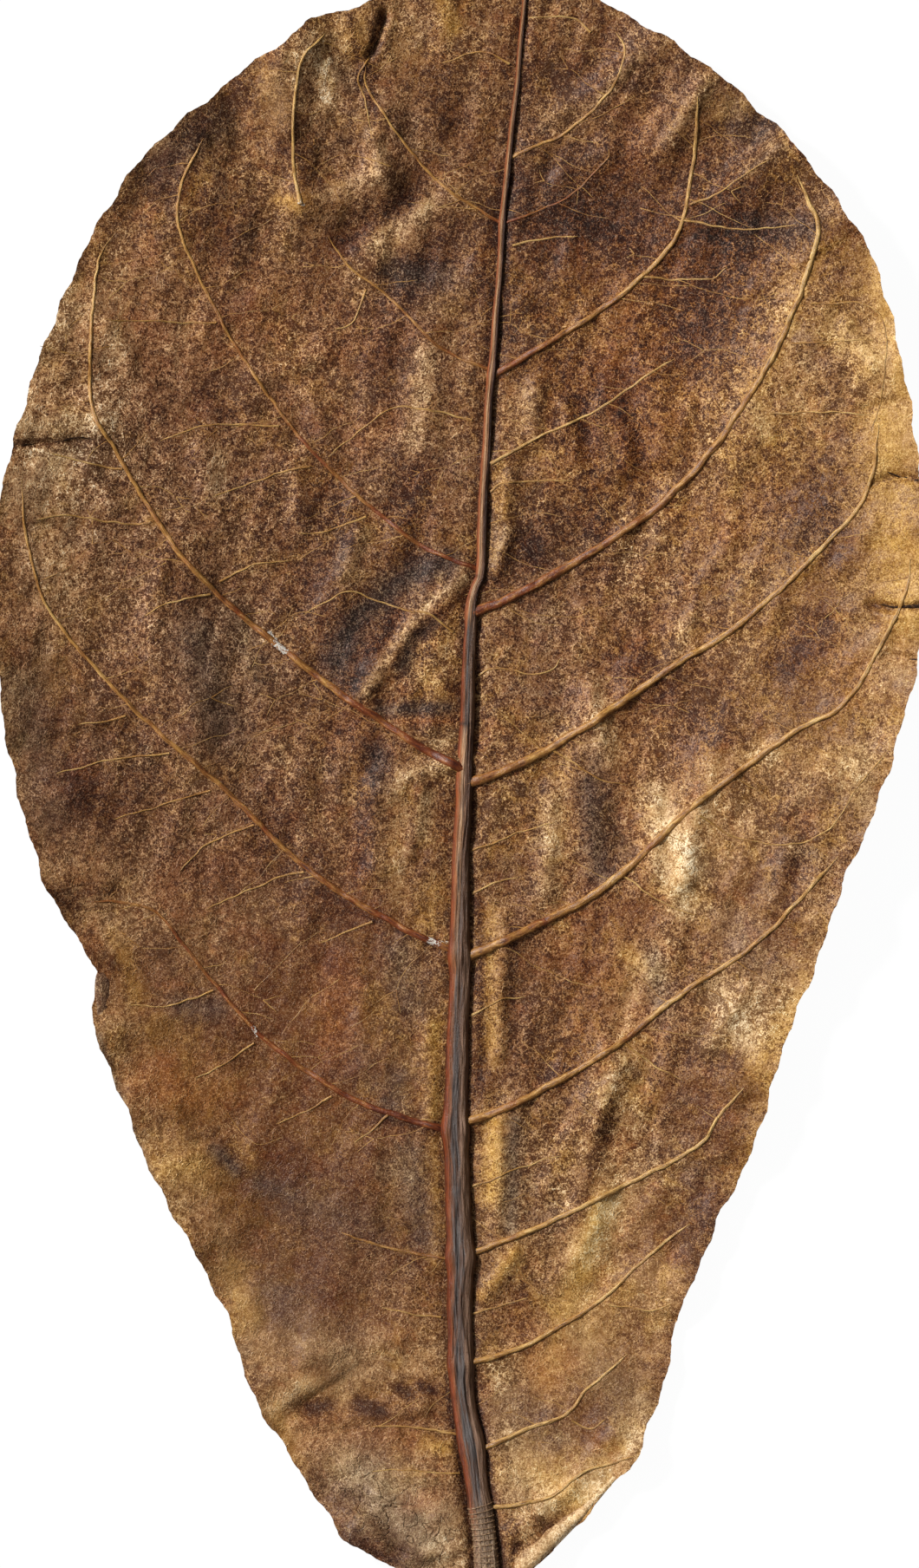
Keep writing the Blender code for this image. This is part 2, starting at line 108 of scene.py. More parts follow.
# The side veins that stand out, each from the midrib outward
SIDE_VEINS: tuple[Path, ...] = (
    ((4, -111), (14, -109.5), (19.5, -105.5), (28, -102.5)),
    ((3, -102), (9.5, -99), (17, -96), (20.5, -92), (27, -86.5)),
    ((1, -88), (9.5, -85.5), (21, -79), (30.5, -70.5), (37, -65.5)),
    ((1, -70.5), (10.5, -67), (21, -62), (37.5, -53.5), (41.5, -48.5), (45.5, -43.5)),
    ((0, -49.5), (10.5, -45.5), (25, -37), (35, -29), (47.5, -20.5), (60.5, -6.5)),
    ((0.5, -23), (9.5, -19), (24, -11), (37.5, 1.5), (53, 13), (62.5, 19), (71, 35), (72, 41)),
    ((1, 5), (14, 10.5), (34.5, 24), (46.5, 32), (62, 47), (66, 54.5), (67, 62.5)),
    ((2, 32.5), (13, 37.5), (34, 51.5), (48.5, 70.5), (57, 91), (56, 98), (54, 102.5)),
    ((5, 70.5), (16, 77), (27, 84.5), (35, 93.5), (37.5, 105.5), (38, 115)),
    ((5, 56.5), (13, 61), (22, 65), (30, 70.5), (34.5, 73.5)),
    ((8, 105.5), (17.5, 110), (24, 116), (26.5, 122), (25, 125.5)),
    ((7, 95), (17, 99), (23.5, 105), (24, 107)),
    ((1, -99.5), (-8, -98), (-14.5, -98)),
    ((-0.5, -71.5), (-11, -69.5), (-19, -67)),
    ((-1, -51), (-12, -47.5), (-19, -44.5), (-32, -35), (-42.5, -23), (-49.5, -15), (-60.5, -13.5)),
    ((0, -22), (-11, -17), (-25, -8), (-38, 4.5), (-53.5, 18.5), (-65.5, 33), (-69, 44), (-70, 54)),
    ((0.5, 7.5), (-10, 13.5), (-27.5, 26), (-44, 41), (-55, 58.5), (-59, 67), (-58, 87), (-55, 94)),
    ((3, 39.5), (-8.5, 45), (-24.5, 59.5), (-36, 75.5), (-44.5, 93), (-44.5, 101), (-40.5, 109.5)),
    ((5, 71.5), (-3.5, 75.5), (-11, 83), (-18, 88.5), (-21, 93)),
    ((7, 95), (-2, 100.5), (-8.5, 107.5), (-14.5, 116), (-15, 120)),
    ((-25.5, 98), (-26.5, 105), (-26.5, 114), (-25, 121), (-21.5, 125)),
)

# How each side vein looks, in the same order: its width at the root and at the end, how golden it
# is there, from 0 for rust-brown to 1 for gold, and how far it stands out of the blade
SIDE_VEIN_LOOKS: tuple[tuple[float, float, float, float, float], ...] = (
    (0.75, 0.4, 0.75, 0.9, 0.9), (0.8, 0.4, 0.8, 0.9, 0.9), (0.9, 0.45, 0.7, 0.9, 1.0),
    (1.0, 0.5, 0.7, 0.9, 1.0), (1.35, 0.6, 0.5, 0.85, 1.0), (1.5, 0.6, 0.45, 0.85, 1.0),
    (1.5, 0.6, 0.5, 0.85, 1.0), (1.5, 0.75, 0.25, 0.95, 1.0), (1.1, 0.5, 0.3, 0.9, 1.0),
    (0.5, 0.3, 0.9, 0.9, 0.8), (0.55, 0.35, 0.6, 0.8, 0.8), (0.4, 0.3, 0.3, 0.5, 0.8),
    (0.5, 0.3, 0.6, 0.7, 0.7), (0.6, 0.35, 0.4, 0.6, 0.7), (1.2, 0.4, 0.1, 0.4, 0.65),
    (1.2, 0.4, 0.2, 0.8, 0.65), (1.4, 0.4, 0.15, 0.85, 0.7), (0.75, 0.5, 0.15, 0.75, 0.6),
    (0.6, 0.35, 0.3, 0.7, 0.7), (0.55, 0.4, 0.4, 0.75, 0.7), (0.6, 0.4, 0.8, 0.8, 0.9),
)

# The thin veins of the raised net
THIN_VEINS: tuple[Path, ...] = (
    ((-14.4, 121.6), (-16, 118.5), (-15.6, 116.1), (-14.9, 113.2), (-13.9, 108.3)),
    ((38.5, 0), (44.5, -3.5), (51.5, -4.5), (58.5, -2.5), (65.5, 7), (69, 11)),
    ((56, 82), (67, 80.5), (67.5, 67), (65.5, 61)),
    ((50, 64.5), (61, 64.5), (66, 64)),
    ((53, 75.5), (59, 76), (66.5, 76)),
    ((36, 95.5), (44.5, 94), (54, 94.5)),
    ((37, 98), (41.5, 100), (49.5, 105)),
    ((29.5, 86.5), (39.5, 86), (43, 88)),
    ((8.5, 91.5), (12, 92.5), (19, 93)),
    ((5, 52), (7.5, 53.5), (18, 54)),
    ((3, 22.5), (5.5, 23.5), (14, 23), (16.5, 25.5)),
    ((2, -5.5), (6.5, -4), (10.5, -2.5), (15.5, -1)),
    ((2, -12.5), (6.5, -10.5), (9.5, -10)),
    ((2, -32), (6.5, -29.5), (10.5, -29)),
    ((2, -59.5), (9.5, -56.5), (16, -54.5)),
    ((2, -80), (7.5, -78.5), (11, -77.5)),
    ((18, -97), (21, -98.5), (23.5, -97)),
    ((24, -78.5), (30.5, -79.5), (34, -78.5)),
    ((26, -36), (31, -40), (36, -42.5)),
    ((26, -9.5), (33, -14), (38, -16)),
    ((15, 10.5), (22, 6), (27, 5)),
    ((21, 125.5), (17.5, 128), (11, 128)),
    ((8, 120.5), (4, 122.5), (-3, 120.5)),
    ((-15, 84.5), (-17, 79.5), (-20, 78)),
    ((-11.5, -48), (-14.5, -50.5), (-17, -52.5)),
    ((-20.5, -45), (-25, -47.5), (-29.5, -49.5)),
    ((-33, -36.5), (-38, -40), (-42.5, -42)),
    ((-39.5, -28), (-45, -30), (-53, -30.5)),
    ((-14, -17), (-18.5, -19), (-22.5, -20.5)),
    ((-25, -9), (-30.5, -10.5), (-41, -15)),
    ((-33, -1.5), (-40.5, -4.5), (-45, -9)),
    ((-40, 4), (-48.5, 1.5), (-55.5, -0.5)),
    ((-46.5, 10), (-56, 9), (-64.5, 6.5)),
    ((-53.5, 16), (-57, 15), (-61, 14.5)),
    ((-40, 35.5), (-45, 34.5), (-50.5, 32)),
    ((-49.5, 47), (-53, 46.5), (-62.5, 48), (-69, 47)),
    ((-54, 55.5), (-58.5, 56), (-65.5, 58)),
    ((-38.5, 37.5), (-32, 40.5), (-27, 41)),
    ((-39, 79), (-48.5, 79), (-57, 79.5)),
    ((-29, 62.5), (-40.5, 62.5), (-48, 60)),
    ((-24, 56), (-29, 55), (-39.5, 51)),
    ((-15, 48), (-22, 45.5), (-26, 45.5)),
    ((2, 63.5), (-7, 65.5), (-12.5, 64.5), (-21, 57.5)),
    ((-1, 29.5), (-3, 31), (-5, 32.3), (-9, 33), (-13, 34.3), (-18, 36), (-22, 34), (-25, 32)),
    ((-3, -80.5), (-7, -80), (-12.5, -79)),
    ((0, -105.5), (-9, -105), (-14, -105)),
)

# Thinner veins still, too slight for the solid
HAIR_VEINS: tuple[Path, ...] = (
    ((-3, -46), (-2.8, -41), (-8, -40.5)),
    ((-33, -28), (-27, -22), (-22, -18)),
    ((-28.5, -35), (-24, -29.5), (-19, -26)),
    ((-17.5, -34), (-13, -31)),
    ((-38.5, -46), (-33, -52.5), (-28, -51.5)),
    ((-26, 41), (-20, 45), (-17, 51)),
    ((-34, 26.5), (-29, 29), (-26, 32.5), (-21, 32)),
    ((-30, 30), (-32, 26.5), (-33.5, 23.5)),
    ((-47, 40.5), (-52, 38), (-57, 37)),
    ((-21, 17), (-27.5, 14.5), (-33, 13)),
    ((-36.5, 7.5), (-33, 12.5), (-29, 15)),
    ((35, 86), (44, 83), (52, 83.5)),
    ((37.5, 108), (42, 109), (47, 108.5)),
    ((29, 97.5), (37, 96), (43, 98.5)),
    ((9, 33), (18, 32), (25, 34.5)),
    ((5, 47), (12, 48.5), (17, 48)),
    ((17, -44), (22, -48.5), (29, -50)),
    ((12, -24), (19, -27), (26, -28)),
    ((44, -23), (50, -27), (54, -28)),
    ((30, -70), (35, -73), (38, -72)),
    ((3, -63), (8, -62), (11, -60.5)),
    ((3, -94.5), (7, -92)),
    ((10, -74.5), (14, -77), (19, -78)),
    ((-11, 104), (-18, 106), (-23, 104)),
    ((-37, 92), (-31, 95), (-26.5, 98)),
    ((-56, 75), (-62, 74), (-67, 75)),
)

# Folds that the solid has, with their heights (a hollow is negative) as the amounts
FOLDS: tuple[Mark, ...] = (
    (-26.5, 122, -25.5, 99, 4.5, 1.7), (-14, 112, -12, 102, 3.6, 1.3), (-12, 102, -22, 97.5, 3.6, 1.4),
    (-1.5, 99, -14.5, 89, 3.8, 1.3), (4, 86, -6, 81, 3.4, 0.9), (-4, 77, -5.5, 58.5, 3.8, 1.5),
    (-8.5, 46, -20, 33.5, 4.2, 1.2), (-1.5, 38, -15, 20, 4.2, 1.5), (-1, 8, -11, 4, 3.8, 1.2),
    (-11, 4, -12, -9, 4, 1.2), (-45, 42, -43, 14, 5.5, 1.5), (-74, 63.5, -56, 61.5, 3.4, 1.3),
    (-60, 30, -68, 12, 6, -1.2), (-50, 103, -58, 90, 6, -1.4), (13, 76, 15, 65, 3, 0.8),
    (22, 71.5, 24.5, 56, 3, 0.8), (30.5, 71.5, 32.5, 58, 3, 0.8), (46, 62, 56, 86, 6.5, 1.6),
    (23, 113, 31, 125, 3.6, 1.2), (32.5, 106.5, 40, 118, 3.8, 1.3), (44, 99, 53, 108, 4, 1.3),
    (21, 16, 20, -3, 4, 1.2), (42, 11, 36, -10, 4.5, 1.4), (8.8, -45, 8.8, -67, 3.2, 1),
    (23.5, -38, 18.5, -64, 4.4, 1.3), (-24, -94.5, -5, -92, 3, -0.9), (-18, -60, -22, -84, 6, 1.1),
    (-36, -52, -30, -72, 6, -0.9),
)

# Smaller folds between them, too fine for the solid
FINE_FOLDS: tuple[Mark, ...] = (
    (-29, 121, -28, 110, 2, 0.7), (-37, 117, -34, 108, 2.4, -0.6), (-18, 126, -14.5, 123, 1.8, 0.5),
    (-20, 108, -17, 103, 1.8, 0.4), (-13.5, 108, -13, 103, 1.5, 0.5), (-1.5, 99, -14.5, 89, 3.6, -0.35),
    (-22, 74, -32, 70, 1.8, 0.4), (-46, 76, -38, 73, 1.8, 0.35), (-30, 84, -40, 78, 2, 0.4),
    (-56, 78, -52, 71, 1.8, 0.4), (-64, 76, -58, 74, 1.6, 0.35), (-63, 68, -55, 70, 1.5, -0.35),
    (-35, 66, -30, 62, 1.8, 0.45), (-24, 67, -20, 57, 1.7, 0.4), (-41, 58, -38.5, 47, 2, 0.5),
    (-27, 56, -25, 47, 1.8, 0.4), (-16, 46, -19, 38.5, 1.6, 0.5), (-48, 40, -49, 24, 1.8, 0.4),
    (-59, 55, -55, 50, 1.6, 0.4), (1, 38, -8, 29.5, 1.2, 0.3), (-8, 29.5, -15, 19.5, 1.3, 0.3),
    (-19, -107.5, -13, -108.8, 0.8, 0.35), (-13, -108.8, -10, -110, 0.8, 0.35),
    (-9, -111.5, -4, -112.5, 0.9, 0.35), (-4, -112.5, 1, -116, 0.9, 0.35), (-8, -119, -1, -118, 0.9, 0.4),
    (-12, -106, -4, -106.5, 0.8, 0.3), (-16, -112, -12, -117, 1, 0.3), (-4, 27, -7, 20, 1.6, 0.4),
    (-3, 22, -4.5, 14, 1.5, 0.4), (1.5, 9, -8, 6.5, 1.4, 0.5), (-6, 4, -8, -6, 1.5, 0.5),
    (-14, 5, -13.5, -9, 1.8, 0.5), (-25, 6, -24, -5, 2, 0.45), (-31, 20, -29, 8, 2.2, 0.35),
    (8, 55, 6.8, 48, 1.3, 0.6), (8, 46, 6, 39, 1.3, 0.6), (12, 69, 12, 62, 1.5, 0.5),
    (17, 66, 18.5, 57, 1.5, 0.4), (26, 64, 27.5, 56, 1.5, 0.4), (36.5, 66, 35.5, 60, 1.5, 0.4),
    (20, 33, 24, 28, 1.6, 0.35), (28, 47, 24, 42, 1.5, 0.4), (37, 32, 33, 24, 1.7, 0.4),
    (29, 28, 26, 19, 1.7, 0.4), (21, 20, 24, 8, 1.8, 0.5), (44, 45, 40, 38, 1.8, 0.35),
    (55, 40, 49, 31, 1.8, 0.35), (66, 47, 61, 39, 1.6, 0.4), (68, 30, 62, 24, 1.7, 0.4),
    (62, 78, 66, 72, 1.6, 0.4), (59, 72, 63, 64, 1.8, 0.3), (28, 121, 16, 112, 1.7, 0.6),
    (39, 117, 33, 107, 1.6, 0.5), (51, 107, 43, 101, 1.5, 0.5), (24, 107, 15, 101, 2, 0.35),
    (10, 82, 13, 79, 1.6, 0.35), (15, 3, 14, -13, 1.7, 0.5), (25.5, 12, 23, -2, 2.8, -0.15),
    (32, 2, 31, -9, 1.6, 0.5), (38, 2, 36, -10, 1.7, 0.5), (47, -2, 44, -12, 1.8, 0.4),
    (53, -4, 50, -14, 1.6, 0.4), (58, -4, 56, -12, 1.6, 0.35), (7, -16, 6.5, -38, 1.3, 0.5),
    (6.5, -49, 6, -66, 1.3, 0.5), (26, -40, 22, -50, 1.7, 0.5), (20, -46, 14, -60, 1.7, 0.45),
    (33, -36, 31, -46, 1.8, 0.35), (46, -28, 40, -37, 1.7, 0.5), (39, -41, 44, -45, 1.6, 0.4),
    (24, -60, 17, -74, 1.8, 0.45), (32, -60, 27, -68, 1.7, 0.35), (9, -70, 4.5, -77, 1.4, 0.5),
    (28, -66, 20, -80, 2.2, -0.35), (-5, -33, -4.5, -48, 1.3, 0.4), (-16, -28, -15, -40, 2, 0.35),
    (-30, -44, -34, -56, 2.2, 0.3), (-47, -40, -44, -54, 2.2, 0.3), (-14, -53, -14, -66, 2, 0.3),
    (-24, -86, -10, -84, 2, 0.35), (-26, -97.5, -6, -95, 1.5, 0.6), (-17, -104, -8, -112, 1.8, 0.35),
    (-10, -104, -2, -112, 1.6, 0.35), (-20, -110, -12, -116, 1.6, 0.35), (18, -108, 9, -115, 1.7, 0.5),
    (25, -99, 20, -104, 1.7, 0.35),
)

# Sharp creases in the margin, narrower than the solid can have them: points, depth, half-width
CREASES: tuple[tuple[Path, float, float], ...] = (
    (((-12, 128.5), (-13, 124.5), (-14.5, 121.5)), 1.5, 1.1),
    (((-71, 59), (-62.5, 60), (-56, 60)), 0.5, 0.8),
    (((73, 53.5), (70, 54.3), (66, 53)), 0.8, 1.0),
    (((73.3, 33.5), (69.5, 33), (65.5, 34)), 0.9, 1.0),
    (((72.5, 25), (68, 25.5)), 0.8, 1.0),
    (((34.2, -81), (30, -80.4)), 0.8, 1.2),
)

# Dark lines of painted shade in the margin's creases: points, width at the margin, width at the inner end
CREASE_SHADE_LINES: tuple[tuple[Path, float, float], ...] = (
    (((-12, 127.6), (-13, 124.5), (-14.4, 121.4)), 0.9, 0.3),
    (((-71, 59.1), (-66, 59.6), (-61, 60.4), (-56.8, 60.2)), 0.8, 0.2),
    (((73.4, 53.6), (70.6, 54.2), (68.4, 55)), 0.9, 0.3),
    (((73.6, 33.8), (70.4, 33.4), (67.2, 34)), 1.1, 0.3),
    (((73, 24.8), (70.8, 25.2)), 0.5, 0.2),
    (((34.2, -81), (32.6, -80.8)), 0.6, 0.3),
)

# Stretches of margin that dried rolled over: edge, line where it meets the blade, height, lightness,
# paleness; the lightness is painted light and the paleness a painted sheen on the raised roll
ROLLS: dict[str, tuple[Path, Path, float, float, float]] = {
    "rolled_margin_stalk": (
        ((26.4, -105.2), (24.6, -107), (20, -112.5), (15.8, -116.9), (12, -120.5), (9.4, -122.8)),
        ((24.8, -105.2), (22.6, -107.4), (18.4, -111.2), (13.4, -114.6), (9.6, -118), (7.8, -120.6)),
        0.9, 0.16, 0.6),
    "rolled_margin_notch": (
        ((-57.4, -23.8), (-58.3, -26), (-58.4, -30), (-58, -34.3)),
        ((-56.8, -23.8), (-55.8, -26.7), (-56.1, -30.8), (-57.8, -34.3)),
        0.5, 0.02, 0.0),
}


class Tint(Enum):
    """What has stained the dry blade in a place, or where light and shade are painted on it, each kept as
    a point attribute of that name.
    """

    GOLD = "gold"
    DARK = "dark"
    SLATE_AND_SHADE = "slate"
    RUST = "rust"
    PAINTED_SHEEN = "pale"
    PLUM = "plum"
    CALM = "calm"
    CRUMPLED = "crumpled"
    SALT = "salt"


# Where the stains and the patches of painted light and shade lie, with their strength as the amount
STAINS_AND_PAINTED_LIGHT: dict[Tint, tuple[Mark, ...]] = {
    Tint.GOLD: (
        (46, 60, 66, 46, 6, 0.5), (68, 62, 71, 32, 6, 0.9), (50, 28, 60, 22, 5, 0.4),
        (-24, -84, -16, -98, 5, 0.5), (14, 72, 40, 86, 8, 0.35), (27, -22, 31, -25, 1.6, 0.7),
        (-53.5, -22.5, -51.5, -29, 1.8, 0.9), (-47, -54, -39, -59, 3, 0.35),
        (20, 105, 46, 88, 44, 72, 24, 55, 9, 0.4), (-50, 47.2, -48.6, 47.2, 0.8, 1.2),
        (-29, 98.6, -25.5, 98, 1.2, 1), (-31, 119, -29, 112, 2, 0.6), (-27, 98.5, -26, 97.5, 1.2, 1),
        (-43, 107, -44, 92, 1.6, 0.4), (6.5, 56, 7, 48, 1.4, 0.9), (-6, 24, -3, 19, 1.8, 0.5),
        (-5.5, -100.7, -2.5, -101.5, 1.6, 1), (46, 70, 50, 60, 2.6, 0.9), (48, 68, 58, 91, 1.8, 0.7),
        (60, 78, 66, 72, 3.5, 0.7), (70, 55, 72, 30, 4, 0.7), (57, 40, 66, 50, 6, 0.4),
        (66, 88, 71, 68, 2.5, 0.8), (50, 16, 62, 10, 6, 0.35), (31, 0, 36, -12, 3, 0.4),
        (5, -16, 5, -39, 1.9, 0.95), (5.5, -49, 5, -61, 1.8, 1), (3.5, -77, 9, -70, 1.3, 0.8),
        (-4, -33, -4, -48, 1.5, 0.8), (-4, -52, -4, -72, 1.3, 0.55), (-4, -12, -6, -19, 2.4, 0.5),
        (23, -62, 17, -80, 2.4, 0.7), (16, -84, 14, -90, 3, 0.5), (20, -78, 26, -96, 5, 0.4),
        (45, -58, 50, -43, 2.5, 0.5), (48, -40, 55, -30, 2.5, 0.7), (-48, -56, -42, -56, 3.2, 0.6),
        (-36, -74, -33, -80, 3, 0.5), (-46, -36, -44, -46, 4, 0.4), (-49.5, 47.5, -48.5, 48, 1, 1),
        (-29, -97, -26, -104, 1.8, 0.6), (-18, 126, -16, 122, 2.2, 0.5), (-3, 131, -1, 126, 1.6, 0.8),
        (-8, 122, -2, 114, 4, 0.35), (48, 115, 42, 112, 2.4, 0.6), (48, 60, 62, 26, 16, 0.35),
        (12, -104, 18, -110, 3.4, 0.6), (4, 47, 5, 40, 1, 0.5),
    ),
    # Dark stains, partly painted shade: the dark lines in the margin's creases, bands on the shaded sides
    # of folds and the hollow inside the rolled margin by the stalk
    Tint.DARK: (
        (-36, 117, -44, 108, 3, 0.8), (-50, 104, -60, 88, 2.4, 0.4), (-12.5, 128, -15, 120, 1.2, 0.9),
        (-15, 119, -14, 113, 1.6, 0.6), (-24, 118, -24.5, 102, 1.4, 0.5), (-6, 102, -12, 97, 2, 0.5),
        (-14, 88, -7, 88, 2.6, 0.3), (9.5, 120, 18, 118, 3.5, 0.4), (41, 110, 50, 111, 1.6, 0.7),
        (41, 93, 56, 93, 2.4, 0.5), (20, 96, 26, 92, 4, 0.45), (12, 66, 16, 60, 1.4, 0.5),
        (20, 66, 20, 58, 1.2, 0.5), (26, 66, 29, 56, 1.6, 0.5), (-72, 59.6, -56, 59.6, 1.1, 0.9),
        (-60, 56, -56, 54, 1.6, 0.4), (-5.5, 55, -8, 48, 2.6, 0.4),
        (-2, 41, -10, 37.5, -17, 31, -20, 25, 2, 0.5), (-4, 31, -8, 28, -9, 24, 1.2, 0.5),
        (-24, -95.2, -21, -94.5, 1.5, 1.5), (-16.4, -94.4, -12.8, -95.4, 1.5, 1.6),
        (-9.6, -92, -8, -92.8, 1.2, 1.5), (-6.4, -91.4, -4.4, -92.2, 0.9, 1.4),
        (-17.5, 128, -16.4, 122, -16, 117, 0.6, 1.2), (13, -113.5, 15, -114.8, 1.4, 1.2),
        (-9, -117.5, -6, -119, 1.2, 0.8), (-2, 17, -9, 17, 0.9, 0.7), (-3, 23, -6, 26, 1.2, 0.3),
        (4.6, 118, 4.6, 119, 1, 0.2), (10, 44, 12, 42, 2, 0.4), (7, 40, 6, 37, 0.9, 0.5),
        (66, 33.5, 74, 33.3, 0.8, 1), (68, 54, 74, 54, 0.8, 0.8), (22, 3, 25, -8, 2, 0.35),
        (38, -3, 41, -12, 1.6, 0.6), (50, -2, 54, -3, 1.8, 0.4), (36, -38, 43, -39, 2, 0.5),
        (12, -42, 18, -41, 1.2, 0.5), (25, -46, 19, -64, 1.5, 0.55), (8.6, -18, 8.4, -38, 1, 0.5),
        (38, -63, 41, -66, 1.6, 0.5), (34.5, -80, 34, -84, 1.4, 0.6), (-24, -96, -14, -94.5, 1.2, 0.4),
        (-14, -94.5, -4, -92, 1, 0.4), (-17, -117, -9, -120, 1.2, 0.8), (-65, -12, -62, -13, 1.8, 0.8),
        (-56, -12, -60, -12, 1.2, 0.4), (-70, 25, -68, 5, 3, 0.35), (-12, -48.5, -3, -50.5, 0.9, 0.8),
        (-10, -18.5, -3, -21, 0.9, 0.8), (-22, -12, -12, -17, 1.4, 0.5), (8, -113, 9, -117, 1.6, 0.6),
        (-40, -51, -36, -56, 1.6, 0.4), (-54, -24, -46, -20, 2.4, 0.3),
    ),
    # Slate grey, partly painted shade on the sides of folds that face away from the light
    Tint.SLATE_AND_SHADE: (
        (-16, -106, -6, -116, 6.5, 0.8), (-11, 87.5, -3, 86.5, 2.4, 0.7), (21, 5, 22.5, -9, 2.4, 0.8),
        (31, -23, 32.5, -31, 2, 0.7), (-45, -30.5, -39, -31, 2, 0.6), (-39, -53.6, -36, -57, 1.3, 0.8),
        (-32, -59, -27, -61, 2, 0.6),
        (-57.8, -35, -55.5, -43, -52.3, -51.5, -48.5, -61, -45, -70, 0.8, 0.8), (-42, 28, -38, 14, 4, 0.7),
        (-36, 32, -32, 22, 3, 0.5), (-2, 41, -10, 37.5, -17, 31, -20, 25, 2.3, 0.85),
        (-4, 31, -8, 28, -9, 24, 1.3, 0.75), (-13, 17, -2, 17.5, 1.1, 0.8), (-13, 10, -13, 6, 2, 0.6),
        (-40, 110, -48, 104, 3.5, 0.6), (22, 8, 26, -6, 2.4, 0.45), (8.8, -49, 8.2, -66, 1.4, 0.8),
        (-10, -22, -8, -30, 3, 0.5), (-10, -42, -11, -47, 2.4, 0.6), (-8, -54, -6, -68, 2.6, 0.6),
        (-26, -62, -14, -66, 4, 0.4), (-14, -107, -16, -114, 4.5, 0.6), (-4, -112, -6, -120, 4.5, 0.6),
        (-30, -78, -20, -88, 5, 0.4), (44, 113, 48, 109, 3, 0.5), (48, 95, 56, 94, 2.5, 0.4),
        (12, -64, 16, -66, 2, 0.3), (44, -18, 48, -24, 4, 0.3), (24, -90, 28, -94, 4, 0.4),
        (8, -94, 14, -100, 4, 0.4), (-70, 20, -66, 0, 4, 0.4), (-60, 60, -70, 52, 3, 0.35),
    ),
    Tint.RUST: (
        (-47, -40, -44, -45, 2.4, 0.8), (-20, -24, -20, -38, 4, 0.6), (-14, -4, -18, -13, 4, 0.3),
        (-46, -10, -36, -8, 4, 0.45), (-50, -42, -40, -44, 5, 0.5), (-48, 76, -30, 80, 8, 0.4),
        (-16, 60, -10, 64, 3.6, 0.5), (-2, 34, -12, 26, 2.4, 0.5), (-16, 16, -20, 12, 3, 0.35),
        (30, 112, 26, 104, 4, 0.4), (24, 68, 32, 62, 3, 0.4), (16, -22, 24, -26, 5, 0.4),
        (10, -82, 14, -90, 3, 0.45), (56, 28, 64, 24, 6, 0.25), (40, 46, 48, 50, 6, 0.25),
        (-24, -99, -8, -100, 3, 0.6), (34, 88, 26, 64, 13, 0.45), (30, 30, 22, -30, 12, 0.25),
        (-8.5, -110.5, -4, -109.5, 1.7, 0.9), (-10, 15.2, -1, 15.2, 0.7, 0.7), (16, -86, 18, -88, 2, 0.5),
        (-12, 78, -30, 70, 6, 0.3),
    ),
    # Painted highlights: a pale cream sheen along the crests of folds and the lit lips of creases
    Tint.PAINTED_SHEEN: (
        (31, 4, 34, -2, 2, 0.9), (34, -3, 38, -8, 2.6, 0.9), (37, -8, 36, -15, 1.8, 0.7),
        (41, -27, 46, -36, 2.4, 0.7), (7.6, 46, 5.6, 41, 1, 0.9), (-30, 118, -28.5, 110, 2, 0.6),
        (-13, 107, -13, 103, 1.6, 0.7), (-13, 102.5, -22, 99, 1.4, 0.7), (-4.5, 98, -14, 91, 1.4, 0.7),
        (1, 84, -6, 81, 1.4, 0.4), (-5.5, 74, -7.5, 60, 1.9, 0.8), (11, 68, 12, 64, 1.5, 0.6),
        (22.5, 66, 24.5, 57, 1.2, 0.4), (-15, 45, -18.5, 38, 1.5, 0.7),
        (0.7, 38, -4.5, 34.3, -8, 30.3, 1, 0.9), (-8, 30.3, -11.7, 25.5, -15.5, 19.5, 1.1, 0.9),
        (-4, 11.2, -1, 12.8, 1.1, 0.8), (-18, 41.5, -16.5, 38.5, 1.5, 0.7), (-1, 8.5, -9, 6.5, 1.2, 0.8),
        (-5, 3, -6.5, -3, 1.4, 0.8), (-13, 4, -13, -9, 1.6, 0.5), (29.5, 122, 22, 114, 1.2, 0.7),
        (22, 114, 14, 111, 1.4, 0.4), (40, 117, 33, 108, 1.3, 0.6), (51, 107, 46, 103, 1.2, 0.6),
        (-73, 62, -56, 63, 1.4, 0.6), (-55, 77, -55, 73, 1.4, 0.5), (31.5, -1, 33, -10, 2, 0.6),
        (36, 0, 35, -12, 1.8, 0.5), (14.5, 2, 14, -12, 1.6, 0.5), (6, 47, 5.5, 41, 0.9, 0.6),
        (44, -31, 40, -37, 2.4, 0.5), (26, -40, 23, -46, 1.2, 0.5), (60, 78, 66, 73, 2.6, 0.5),
        (47, 66, 49, 62, 1.6, 0.7), (66, 28, 70, 22, 2, 0.5), (64, 10, 66, -2, 2.4, 0.5),
        (22, 22, 23, 12, 1.3, 0.4), (37, 31, 34, 24, 1.6, 0.5), (-9, -56, -10, -62, 2.5, 0.3),
        (25, -97, 29, -100, 2.2, 0.6), (8, -100, 10, -110, 3.2, 0.6), (20, -84, 24, -92, 4.5, 0.35),
        (-38, 58, -40, 50, 1.2, 0.4), (53, -5, 49, -12, 1.4, 0.5), (29, -94, 31, -98, 1.6, 0.5),
    ),
    Tint.PLUM: (
        (-66, 60, -66, 22, 5, 0.15), (-55, 4, -54, -14, 4, 0.35), (-69, 46, -67, 14, -61, -4, 4, 0.6),
        (-50, 50, -55, 10, -30, 20, 13, 0.35), (-30, 90, -8, 60, 10, 0.3), (-4, 116, 8, 112, 5, 0.5),
        (-48, 66, -42, -4, 24, 0.6), (-12, 112, -8, 60, 14, 0.45), (-50, -16, -40, -30, 12, 0.4),
        (16, 108, 30, 112, 12, 0.4), (14, 40, 16, 24, 8, 0.5), (-22, -70, -18, -98, 12, 0.4),
        (8, -14, 8, -40, 5, 0.3), (-64, 20, -66, -6, 9, 0.5),
    ),
    Tint.CRUMPLED: (
